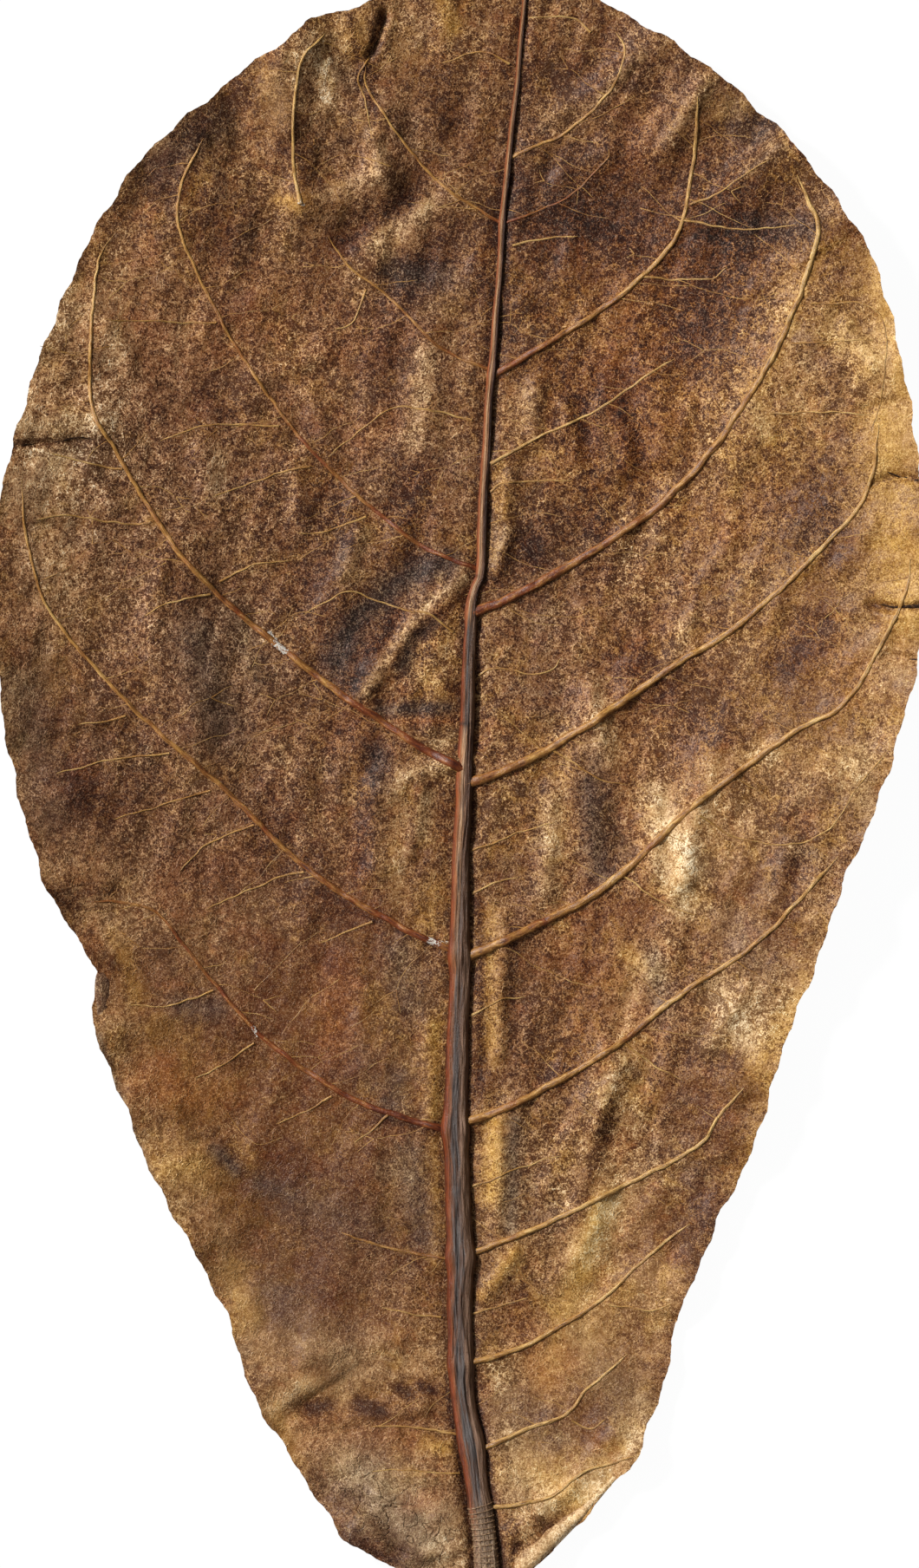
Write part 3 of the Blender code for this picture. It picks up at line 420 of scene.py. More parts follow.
        (-16, -108, -8, -115, 6, 1), (-6, -112, 0, -119, 5, 1), (12, -112, 10, -117, 3.5, 0.9),
        (-40, -92, -34, -96, 4, 0.3),
    ),
    Tint.CALM: (
        (-30, -30, -24, -80, 22, 0.95), (-50, -30, -40, -60, 12, 0.8), (-12, -40, -12, -88, 8, 0.7),
        (70, 60, 70, 20, 8, 0.7), (66, 84, 72, 66, 5, 0.6), (52, 22, 62, 6, 12, 0.45),
        (30, -66, 18, -104, 11, 0.95), (44, -40, 38, -56, 7, 0.5), (44, -2, 50, -20, 9, 0.4),
        (-66, 20, -62, -2, 7, 0.35), (-16, -100, -6, -118, 10, 0.8), (-30, 118, -28, 112, 3, 0.6),
    ),
    Tint.SALT: (
        (-1.5, -20.5, -5, -20, 0.6, 0.9), (-9.5, -17.6, -8.5, -17, 0.5, 0.6),
        (-28, 26, -30.5, 29.5, 0.55, 1), (-30.5, 29.5, -31.5, 30.5, 0.4, 0.7),
        (-26, -0.5, -32, -2.5, 0.6, 0.5), (-25.5, 98.3, -25, 97.8, 0.6, 0.9), (0.3, 23, 0.2, 27, 0.5, 0.5),
        (-32.5, -35.5, -33.2, -34, 0.5, 0.9),
    ),
}

# Broad zones where the dry blade is painted lighter (above 0) or darker: partly its own tone, partly
# painted light and shade beside its folds and at its margins
TONE_AND_LIGHT_ZONES: tuple[Mark, ...] = (
    (-22, 52, -20, 18, 7, -0.05), (5, 97, 9, 72, 2.6, -0.06), (-27, 106, -30, 120, 2, -0.09),
    (3.4, -14, 3.4, -45, 0.9, -0.12), (-28, -86, -24, -87, 2, -0.08), (-15, -100, -12, -104, 3.5, -0.08),
    (-24, -91, -30, -95, 1.6, 0.1), (-38, -66, -36, -76, 3, 0.08), (-68, 34, -70, 26, 3, -0.06),
    (-19, 91.5, -8, 98.5, 1.8, -0.12), (-16, 86.5, -7, 92.5, 1.6, 0.08), (-17, 21, -10, 33, 1.3, -0.12),
    (-14, 10, -15, -8, 2.4, -0.11), (-19, 50, -17, 43, 2, -0.08), (52, 24, 58, 31, 3.4, -0.13),
    (-65, 17, -61, 4, 3.6, -0.08), (47, -12, 52, -8, 2.2, -0.07), (2, 88, 4, 84, 2, -0.06),
    (58, 52, 60, 42, 2.6, -0.06), (-46, 42, -45, 34, 2.4, -0.05), (-49, 109, -38, 118, 2.6, 0.13),
    (-22, 120, -21, 115, 1.6, 0.12), (12, 68, 17, 44, 4, 0.05), (40, 8, 50, 10.5, 1.8, 0.12),
    (37, -5, 41, 5, 1.8, 0.1), (62, 6, 66, 0, 2, 0.07), (20, -70, 24, -63, 2.4, 0.11),
    (35, -74, 33, -84, 2.6, 0.07), (26, -103, 20, -109, 2.6, 0.07), (-38, -44, -42, -62, 4, 0.05),
    (-54, -20, -66, -9, 2.4, 0.08), (-2, 28, -4, 22, 1.6, 0.07), (14, -3, 16, -20, 2.4, 0.05),
    (-46, 80, -44, 72, 3, 0.05), (-66, 96, -70, 10, 10, 0.12), (-56, 78, -62, 60, 6, 0.05),
    (-52, 108, -56, 102, 4, 0.1), (-26, 119, -24, 114, 4, 0.1), (-20, 124, -10, 128, 5, 0.06),
    (-14, 93, -4, 98, 3.5, 0.08), (72, 100, 72, 60, 7, 0.12), (72, 40, 72, 12, 7, 0.08),
    (53, 95, 53, 58, 4, 0.05), (22, 18, 24, 10, 3, 0.1), (38, -4, 60, -24, 10, 0.08),
    (31, 2, 38, -14, 4, 0.03), (28, -24, 26, -46, 4, 0.1), (46, -34, 56, -28, 4, 0.08),
    (24, -58, 16, -90, 7, 0.1), (6, -50, 8, -70, 3.5, 0.06), (6, -88, 9, -104, 3.5, 0.08),
    (-32, -84, -8, -88, 6, 0.12), (-14, -106, -4, -116, 7, 0.2), (-30, -96, -20, -104, 4, 0.12),
    (12, -108, 22, -106, 6, 0.14), (-56, -36, -46, -74, 7, 0.08), (-58, -6, -44, -18, 6, 0.06),
    (46, 96, 38, 80, 9, -0.15), (14, 98, 34, 98, 8, -0.09), (14, 98, 26, 118, 9, -0.06),
    (54, 60, 56, 46, 6, -0.08), (40, 16, 30, 24, 5, -0.08), (10, 80, 16, 70, 6, -0.07),
    (14, 50, 24, 62, 9, -0.07), (-12, 88, -12, 70, 6, -0.07), (-2, 94, -6, 86, 4, -0.08),
    (-4, 118, -2, 112, 4, -0.08), (-38, 68, -38, 66, 5, -0.06), (-46, 100, -36, 92, 5, -0.06),
    (10, 42, 20, 46, 6, -0.08), (-62, 24, -52, 6, 6, -0.04), (-30, 0, -22, -18, 6, -0.06),
    (12, -28, 14, -38, 4, -0.04), (-30, -60, -22, -76, 6, -0.05), (36, -68, 39, -76, 4, -0.06),
    (20, -94, 23, -98, 3, -0.07), (-22, -104, -18, -108, 3, -0.08), (-10, 4, -10, -14, 1.8, 0.1),
    (-10, 54, -8, 42, 4, -0.07), (-62, 72, -64, 64, 4, -0.1), (-72, 44, -73, 30, 4, -0.08),
    (53, -8, 52, -20, 3, -0.09), (32, -74, 28, -100, 3.5, 0.07), (-25, -92, -18, -94, 2, 0.08),
    (-28, -82, -18, -84, 2.5, -0.06), (50, 8, 60, 8, 3, 0.07), (-64, 6, -56, -4, 4, -0.06),
    (8, -104, 10, -108, 3, -0.07), (14, -110, 11, -116, 2, 0.1), (55, 66, 57, 60, 2.5, 0.08),
    (-39, 58, -39, 52, 1.6, 0.1), (16, 6, 16, -6, 2, 0.08), (35, -8, 33, -24, 2.4, 0.05),
    (-60, 55, -52, 22, 11, -0.022), (-62, 8, -44, -14, 10, -0.022), (-30, 50, -16, 20, 11, -0.02),
    (22, 100, 34, 66, 13, -0.022), (44, -28, 52, -46, 5, 0.04), (-18, -98, -10, -112, 7, -0.018),
    (68, 60, 70, 34, 4, 0.02),
)

# Where the cells dried in stronger specks, or in weaker ones where negative
LIVELY: tuple[Mark, ...] = (
    (24, 68, 30, 46, 10, 0.45), (46, 90, 44, 68, 7, 0.4), (-58, 62, -36, 50, 11, 0.35),
    (-2, 30, -8, 4, 7, 0.25), (12, 12, 26, 20, 7, 0.15), (26, -50, 24, -68, 7, 0.3),
    (-32, -2, -26, -4, 5, 0.25), (68, 30, 66, 10, 5, 0.2), (-68, 24, -56, -20, 10, -0.25),
    (-32, -66, -22, -94, 12, -0.25), (12, -28, 24, -30, 6, -0.3), (10, -84, 14, -90, 6, -0.2),
    (-32, 112, -26, 92, 7, -0.2), (-8, 124, -6, 108, 6, -0.15), (-18, -24, -18, -36, 6, -0.15),
)


def smooth_line(points: Sequence[Point], step: float) -> np.ndarray:
    """Draw a smooth curve through given points.

    Args:
        points: The points, in millimetres.
        step: Distance between the points that are returned.

    Returns:
        Points about one step apart on the curve.
    """
    pts = np.array(points, float)
    ends = np.vstack([2 * pts[0] - pts[1], pts, 2 * pts[-1] - pts[-2]])
    dense = []
    for a, b, c, d in zip(ends, ends[1:], ends[2:], ends[3:]):
        for t in np.linspace(0.0, 1.0, 12, endpoint=False):
            dense.append(0.5 * (2 * b + (c - a) * t + (2 * a - 5 * b + 4 * c - d) * t**2
                                + (3 * b - a - 3 * c + d) * t**3))
    line = np.array(dense + [pts[-1]])
    return resample(line, max(2, round(along(line)[-1] / step) + 1))


def resample(line: np.ndarray, count: int) -> np.ndarray:
    """Return a number of points spaced evenly along a line."""
    run = along(line)
    where = np.linspace(0.0, run[-1], count)
    return np.column_stack([np.interp(where, run, line[:, k]) for k in (0, 1)])


def along(line: np.ndarray) -> np.ndarray:
    """Return the distance along a line at each of its points."""
    return np.concatenate([[0.0], np.cumsum(np.linalg.norm(np.diff(line, axis=0), axis=1))])


def left_normals(line: np.ndarray) -> np.ndarray:
    """Return the unit normals to the left of a line's direction."""
    way = np.gradient(line, axis=0)
    way /= np.hypot(way[:, 0], way[:, 1])[:, None]
    return np.column_stack([-way[:, 1], way[:, 0]])


def nearest(line: np.ndarray, spots: np.ndarray, reach: float) -> tuple[np.ndarray, np.ndarray]:
    """Measure from spots to a line.

    Args:
        line: Points of the line.
        spots: Points to measure from.
        reach: Spots further away than this are left at infinity.

    Returns:
        The distance of each spot, and how far along the line, from 0 to 1, it is nearest.
    """
    gap, share = np.full(len(spots), np.inf), np.zeros(len(spots))
    inside = ((spots > line.min(0) - reach) & (spots < line.max(0) + reach)).all(1)
    start, way = line[:-1], np.diff(line, axis=0)
    length = np.hypot(way[:, 0], way[:, 1])
    run = along(line)
    close = np.flatnonzero(inside)
    for rows in np.array_split(close, len(close) // BATCH + 1):
        offset = spots[rows, None, :] - start[None]
        t = np.clip((offset * way).sum(2) / length**2, 0.0, 1.0)
        away = np.linalg.norm(offset - t[..., None] * way, axis=2)
        best = away.argmin(1)
        pick = np.arange(len(rows)), best
        gap[rows] = away[pick]
        share[rows] = (run[best] + t[pick] * length[best]) / run[-1]
    return gap, share


def spread(mark: Mark, spots: np.ndarray) -> np.ndarray:
    """Return what a mark gives at each spot: its amount on its line, fading out beside it."""
    *places, half, amount = mark
    gap, _ = nearest(np.array(places, float).reshape(-1, 2), spots, 3 * half)
    return amount * np.exp(-((gap / half) ** 2))


def pile_up(marks: Sequence[Mark], spots: np.ndarray) -> np.ndarray:
    """Return the sum of what marks give at each spot."""
    return sum((spread(mark, spots) for mark in marks), np.zeros(len(spots)))


def strongest(marks: Sequence[Mark], spots: np.ndarray) -> np.ndarray:
    """Return the most that any of the marks gives at each spot."""
    return np.maximum.reduce([np.zeros(len(spots))] + [spread(mark, spots) for mark in marks])


def rib_line(step: float) -> np.ndarray:
    """Return the midrib's line from the stalk's end to the tip, with its kink and its sways."""
    line = smooth_line(MIDRIB + (RIB_TIP,), step)
    y = line[:, 1]
    size, start, top, end = RIB_KINK
    kink = size * (ease(y, start, top) - ease(y, top, end))
    sway = sum(width * np.sin(y / length + phase) for width, length, phase in RIB_SWAYS)
    return line + np.column_stack([kink + sway, np.zeros(len(line))])


def beside_rib(spots: np.ndarray) -> np.ndarray:
    """Return how far spots lie outside the midrib's flank, and infinity far from it."""
    gap, _ = nearest(rib_line(1.0), spots, RIB_REACH)
    return gap - rib_width(spots[:, 1]) / 2


def ease(value: np.ndarray, start: float, end: float) -> np.ndarray:
    """Return 0 before start, 1 after end, and a smooth turn between them."""
    t = np.clip((value - start) / (end - start), 0.0, 1.0)
    return t * t * (3 - 2 * t)


def fade_ends(run: np.ndarray, whole: float, reach: float) -> np.ndarray:
    """Return 0 at both ends of a run, 1 beyond reach from them, and a smooth turn between."""
    return ease(run, 0.0, reach) * ease(whole - run, 0.0, reach)


def waves(run: np.ndarray, layers: Sequence[Wave]) -> np.ndarray:
    """Return the sum of some waves along a run."""
    return sum(size * np.sin(2 * math.pi * run / length + phase) for size, length, phase in layers)


def taper(sizes: tuple[float, float], share: np.ndarray) -> np.ndarray:
    """Return a size that runs evenly from a vein's root to its end."""
    return sizes[0] + (sizes[1] - sizes[0]) * share


def hills(spots: np.ndarray, length: float, octaves: int, seed: float) -> np.ndarray:
    """Return a smooth random height, about -1 to 1, at each spot.

    Args:
        spots: Points in millimetres.
        length: Distance from one hill to the next, in millimetres.
        octaves: How many finer layers it holds.
        seed: Picks the pattern.
    """
    return np.array([noise.fractal(Vector((x / length, y / length, seed)), 1.0, 2.0, octaves)
                     for x, y in spots[:, :2]])


@dataclass(frozen=True)
class BladeForm:
    """How the dry blade lies: its curl, its folds and its wrinkles, all in millimetres."""

    thickness: float = 0.7
    rim_thickness: float = 0.35
    left_lift: float = 12.0
    right_lift: float = 14.0
    half_width: float = 74.0
    tip_y: float = 133.0
    tip_lift: float = 7.0
    tip_lift_from: float = 70.0
    stalk_end_y: float = -133.0
    stalk_lift: float = 5.0
    stalk_lift_from: float = -70.0
    pressed_depth: float = 0.6
    pressed_ease: float = 1.0
    edge_waves: tuple[Wave, ...] = ((0.8, 31.0, 0.4), (0.45, 13.0, 1.9))
    edge_wave_reach: float = 9.0
    scallops: tuple[Wave, ...] = (
        (0.2, 7.3, 0.0), (0.16, 11.9, 1.1), (0.05, 2.3, 0.7), (0.04, 1.4, 2.0))
    plain_margin_end: float = 8.0
    rim_run: float = 2.0
    line_step: float = 2.0
    shoulder: tuple[float, float] = (0.35, 1.3)
    thin_shoulder: tuple[float, float] = (0.12, 0.6)
    gutter: tuple[float, float] = (0.3, 0.9)
    gutter_stalk_depth: tuple[float, float] = (0.6, 0.1)
    gutter_stalk_run: tuple[float, float] = (96.0, 110.0)
    loose_folds: float = 0.35
    loose_heights: tuple[float, float] = (1.0, 4.0)
    fine_folds: float = 1.5
    quiet_shares: tuple[float, float] = (0.7, 0.5)
    quiet_corner: tuple[float, float, float] = (0.8, 40.0, 70.0)
    quiet_side: tuple[float, float] = (45.0, 62.0)
    wrinkles: tuple[tuple[float, float, int], ...] = ((0.3, 7.0, 3), (0.14, 2.3, 2))
    ripples: tuple[float, float, float, float] = (0.36, 3.6, 13.0, 0.25)
    seed: float = 3.7

    def margin(self, points: Path, step: float) -> np.ndarray:
        """Return a margin with its small uneven scallops, with points one step apart."""
        line = smooth_line(points, step)
        run = along(line)
        push = waves(run, self.scallops) * fade_ends(run, run[-1], self.plain_margin_end)
        return line - left_normals(line) * push[:, None]

    def curl(self, spots: np.ndarray) -> np.ndarray:
        """Return the height of the large curl of the blade and of its margin's waves."""
        x, y = spots[:, 0], spots[:, 1]
        midrib = smooth_line(MIDRIB, self.line_step)
        across = (x - np.interp(y, midrib[:, 1], midrib[:, 0])) / self.half_width
        height = np.where(across < 0, self.left_lift, self.right_lift) * across**2
        to_tip = np.clip((y - self.tip_lift_from) / (self.tip_y - self.tip_lift_from), 0.0, None)
        height += self.tip_lift * to_tip**2
        height += self.stalk_lift * ease(-y, -self.stalk_lift_from, -self.stalk_end_y)
        for points in (LEFT_MARGIN, RIGHT_MARGIN):
            line = self.margin(points, self.line_step)
            gap, share = nearest(line, spots, 5 * self.edge_wave_reach)
            whole = along(line)[-1]
            fade = fade_ends(share * whole, whole, 3 * self.edge_wave_reach)
            height += waves(share * whole, self.edge_waves) * fade * np.exp(-gap / self.edge_wave_reach)
        return height

    def folds(self, spots: np.ndarray) -> np.ndarray:
        """Return the height that the folds and the creases give."""
        height = pile_up(FOLDS, spots)
        for points, depth, half in CREASES:
            gap, _ = nearest(smooth_line(points, self.line_step), spots, half)
            height -= depth * np.clip(1 - gap / half, 0.0, 1.0)
        return height

    def lie(self, spots: np.ndarray) -> np.ndarray:
        """Return the height of the blade's lower face before its wrinkles."""
        height = self.curl(spots) + self.folds(spots) - self.pressed_depth
        eased = np.clip(height, 0.0, 2 * self.pressed_ease) ** 2 / (4 * self.pressed_ease)
        return np.where(height < 2 * self.pressed_ease, eased, height - self.pressed_ease)

    def relief(self, spots: np.ndarray) -> np.ndarray:
        """Return the small relief: shoulders at the veins, loose and fine folds, wrinkles and ripples."""
        height = np.zeros(len(spots))
        for veins, (size, half) in ((SIDE_VEINS, self.shoulder), (THIN_VEINS, self.thin_shoulder)):
            raised = np.zeros(len(spots))
            for points in veins:
                gap, share = nearest(smooth_line(points, self.line_step), spots, 3 * half)
                beside = np.exp(-((gap / half) ** 2))
                raised = np.maximum(raised, size * (1 - 0.5 * share) * beside)
            height += raised
        lean, start, end = self.quiet_corner
        quiet = 1 - self.quiet_shares[0] * ease(-spots[:, 1] - lean * spots[:, 0], start, end)
        loose = quiet * (1 - ease(self.curl(spots), *self.loose_heights))
        height += self.loose_folds * pile_up(FOLDS, spots) * loose
        height += self.fine_folds * pile_up(FINE_FOLDS, spots)
        for size, length, octaves in self.wrinkles:
            height += size * hills(spots, length, octaves, self.seed + length)
        size, across, run, lean = self.ripples
        ripple = np.column_stack([(spots[:, 0] - lean * spots[:, 1]) / across, spots[:, 1] / run])
        quiet *= 1 - self.quiet_shares[1] * ease(spots[:, 0], *self.quiet_side)
        return height + size * quiet * hills(ripple, 1.0, 2, self.seed)

    def trough(self, spots: np.ndarray) -> np.ndarray:
        """Return the depth of the gutter along the midrib, deeper towards the stalk."""
        depth, width = self.gutter
        beside = np.clip(beside_rib(spots), 0.0, None)
        right = spots[:, 0] > np.interp(spots[:, 1], *np.array(MIDRIB).T[::-1])
        extra = np.where(right, self.gutter_stalk_depth[1], self.gutter_stalk_depth[0])
        deeper = depth + extra * ease(-spots[:, 1], *self.gutter_stalk_run)
        return deeper * np.exp(-((beside / width) ** 2))

    def faces(self, spots: np.ndarray, from_rim: np.ndarray) -> tuple[np.ndarray, np.ndarray]:
        """Lay both faces of the blade.

        Args:
            spots: Points in the plan.
            from_rim: Distance of each from the margin.

        Returns:
            Heights of the upper face and of the lower face.
        """
        upper = self.top(spots)
        thinner = (self.thickness - self.rim_thickness) * np.exp(-from_rim / self.rim_run)
        thick = self.thickness - thinner
        return upper, np.clip(upper - thick, 0.0, None)

    def top(self, spots: np.ndarray) -> np.ndarray:
        """Return the height of the upper face at each spot, for what lies on it."""
        height = self.lie(spots) + self.thickness + self.relief(spots) - self.trough(spots)
        return np.maximum(height, self.rim_thickness)


def srgb(colour: str) -> tuple[float, float, float, float]:
    """Turn an sRGB hex colour such as "#a0703a" to linear values with full alpha."""
    parts = [int(colour[k:k + 2], 16) / 255 for k in (1, 3, 5)]
    line = [c / 12.92 if c <= 0.04045 else ((c + 0.055) / 1.055) ** 2.4 for c in parts]
    return line[0], line[1], line[2], 1.0


def add_node(tree: bpy.types.NodeTree, kind: str, sockets: dict[Any, Any] | None = None,
             **settings: Any) -> bpy.types.Node:
    """Add a node to a tree.

    Args:
        tree: Shader or geometry tree.
        kind: Blender's name of the node type.
        sockets: Input name or number, and the value or the output socket that it takes.
        settings: Properties of the node itself.

    Returns:
        The new node.
    """
    node = tree.nodes.new(kind)
    for name, value in settings.items():
        setattr(node, name, value)
    for key, value in (sockets or {}).items():
        if isinstance(value, Socket):
            tree.links.new(value, node.inputs[key])
        else:
            node.inputs[key].default_value = value
    return node


class Shader:
    """A material's tree, with short ways to the few things that every finish here uses."""

    def __init__(self, name: str) -> None:
        """Start a material with one Principled shader."""
        self.material = bpy.data.materials.new(name)
        self.material.use_nodes = True
        self.tree = self.material.node_tree
        self.surface = self.tree.nodes["Principled BSDF"]
        place = add_node(self.tree, "ShaderNodeTexCoord").outputs["Object"]
        self.mm = add_node(self.tree, "ShaderNodeMapping",
                           {"Vector": place, "Scale": (1 / MM,) * 3}).outputs["Vector"]

    def grain(self, size: float, detail: float, rough: float = 0.6, twist: float = 0.0,
              where: Socket | None = None, part: str = "Fac", seed: float = 0.0) -> Socket:
        """Return noise whose grains are size millimetres apart."""
        sockets = {"Vector": where or self.mm, "Scale": 1 / size, "Detail": detail,
                   "Roughness": rough, "Distortion": twist, "W": seed}
        return add_node(self.tree, "ShaderNodeTexNoise", sockets, noise_dimensions="4D").outputs[part]

    def warp(self, size: float, push: float, seed: float = 0.0) -> Socket:
        """Return places that noise has pushed aside, by about push millimetres."""
        drift = self.grain(size, 2.0, seed=seed, part="Color")
        return add_node(self.tree, "ShaderNodeVectorMath", {0: drift, 1: (push,) * 3, 2: self.mm},
                        operation="MULTIPLY_ADD").outputs["Vector"]

    def cell_edges(self, where: Socket, size: float, sharp: float) -> Socket:
        """Return 1 on the edges of cells of a size, falling to 0 beside them."""
        edge = add_node(self.tree, "ShaderNodeTexVoronoi", {"Vector": where, "Scale": 1 / size},
                        feature="DISTANCE_TO_EDGE").outputs["Distance"]
        far = self.math("MINIMUM", self.math("MULTIPLY", edge, sharp), 1.0)
        return self.math("SUBTRACT", 1.0, far)

    def near_half(self, value: Socket, width: float) -> Socket:
        """Return 1 where a value is a half, falling to 0 at width from it: noise turns to threads."""
        off = self.math("ABSOLUTE", self.math("SUBTRACT", value, 0.5))
        return self.math("MAXIMUM", self.math("MULTIPLY_ADD", off, -1 / width, 1.0), 0.0)

    def step_up(self, value: Socket, low: float, high: float) -> Socket:
        """Return 0 below low, 1 above high, and a smooth turn between them."""
        return add_node(self.tree, "ShaderNodeMapRange",
                        {"Value": value, "From Min": low, "From Max": high},
                        interpolation_type="SMOOTHSTEP").outputs["Result"]

    def mix_up(self, start: float, parts: Sequence[tuple[Socket, float, float]]) -> Socket:
        """Return start plus each part's offset from its middle, times its weight."""
        total: Any = start - sum(middle * weight for _, middle, weight in parts)
        for value, _, weight in parts:
            total = self.math("MULTIPLY_ADD", value, weight, total)
        return total

    def attribute(self, name: str) -> Socket:
        """Return a point attribute of the piece."""
        return add_node(self.tree, "ShaderNodeAttribute", attribute_name=name).outputs["Fac"]

    def math(self, what: str, a: Any, b: Any = 0.0, c: Any = 0.0) -> Socket:
        """Return a sum, product or the like of numbers and sockets."""
        return add_node(self.tree, "ShaderNodeMath", {0: a, 1: b, 2: c},
                        operation=what).outputs[0]

    def ramp(self, value: Socket, stops: Sequence[tuple[float, str]]) -> Socket:
        """Return the colour that a value has between stops of hex colours."""
        node = add_node(self.tree, "ShaderNodeValToRGB", {"Fac": value})
        band = node.color_ramp
        while len(band.elements) < len(stops):
            band.elements.new(0.5)
        for element, (place, colour) in zip(band.elements, stops):
            element.position = place
            element.color = srgb(colour)
        return node.outputs["Color"]

    def blend(self, share: Any, a: Any, b: Any, way: str = "MIX") -> Socket:
        """Return colour a turned towards colour b by a share."""
        return add_node(self.tree, "ShaderNodeMix", {"Factor": share, "A": a, "B": b},
                        data_type="RGBA", blend_type=way).outputs["Result"]

    def lay(self, over: Any, where: Socket, most: float, colour: Socket, way: str = "MIX") -> Socket:
        """Return a colour with another laid over it, as a value says and at most a share."""
        return self.blend(self.math("MULTIPLY", where, most), colour, over, way)

    def crusted(self, colour: Socket, fleck: Socket) -> Socket:
        """Return a colour with grey-white salt crust on the flecks of salty places."""
        salty = self.math("MULTIPLY", self.attribute(Tint.SALT.value), fleck)
        return self.blend(self.math("GREATER_THAN", salty, 0.42), colour, srgb("#cfc7ba"))

    def bump(self, height: Socket, depth: float, strength: float) -> None:
        """Press a height pattern, depth millimetres deep, into the surface."""
        node = add_node(self.tree, "ShaderNodeBump",
                        {"Height": height, "Distance": depth * MM, "Strength": strength})
        self.tree.links.new(node.outputs["Normal"], self.surface.inputs["Normal"])

    def finish(self, colour: Socket, roughness: Any, ior: float) -> bpy.types.Material:
        """Connect the colour and roughness, set the IOR, and return the material."""
        self.tree.links.new(colour, self.surface.inputs["Base Color"])
        if isinstance(roughness, Socket):
            self.tree.links.new(roughness, self.surface.inputs["Roughness"])
        else:
            self.surface.inputs["Roughness"].default_value = roughness
        self.surface.inputs["IOR"].default_value = ior
        self.surface.inputs["Metallic"].default_value = 0.0
        return self.material


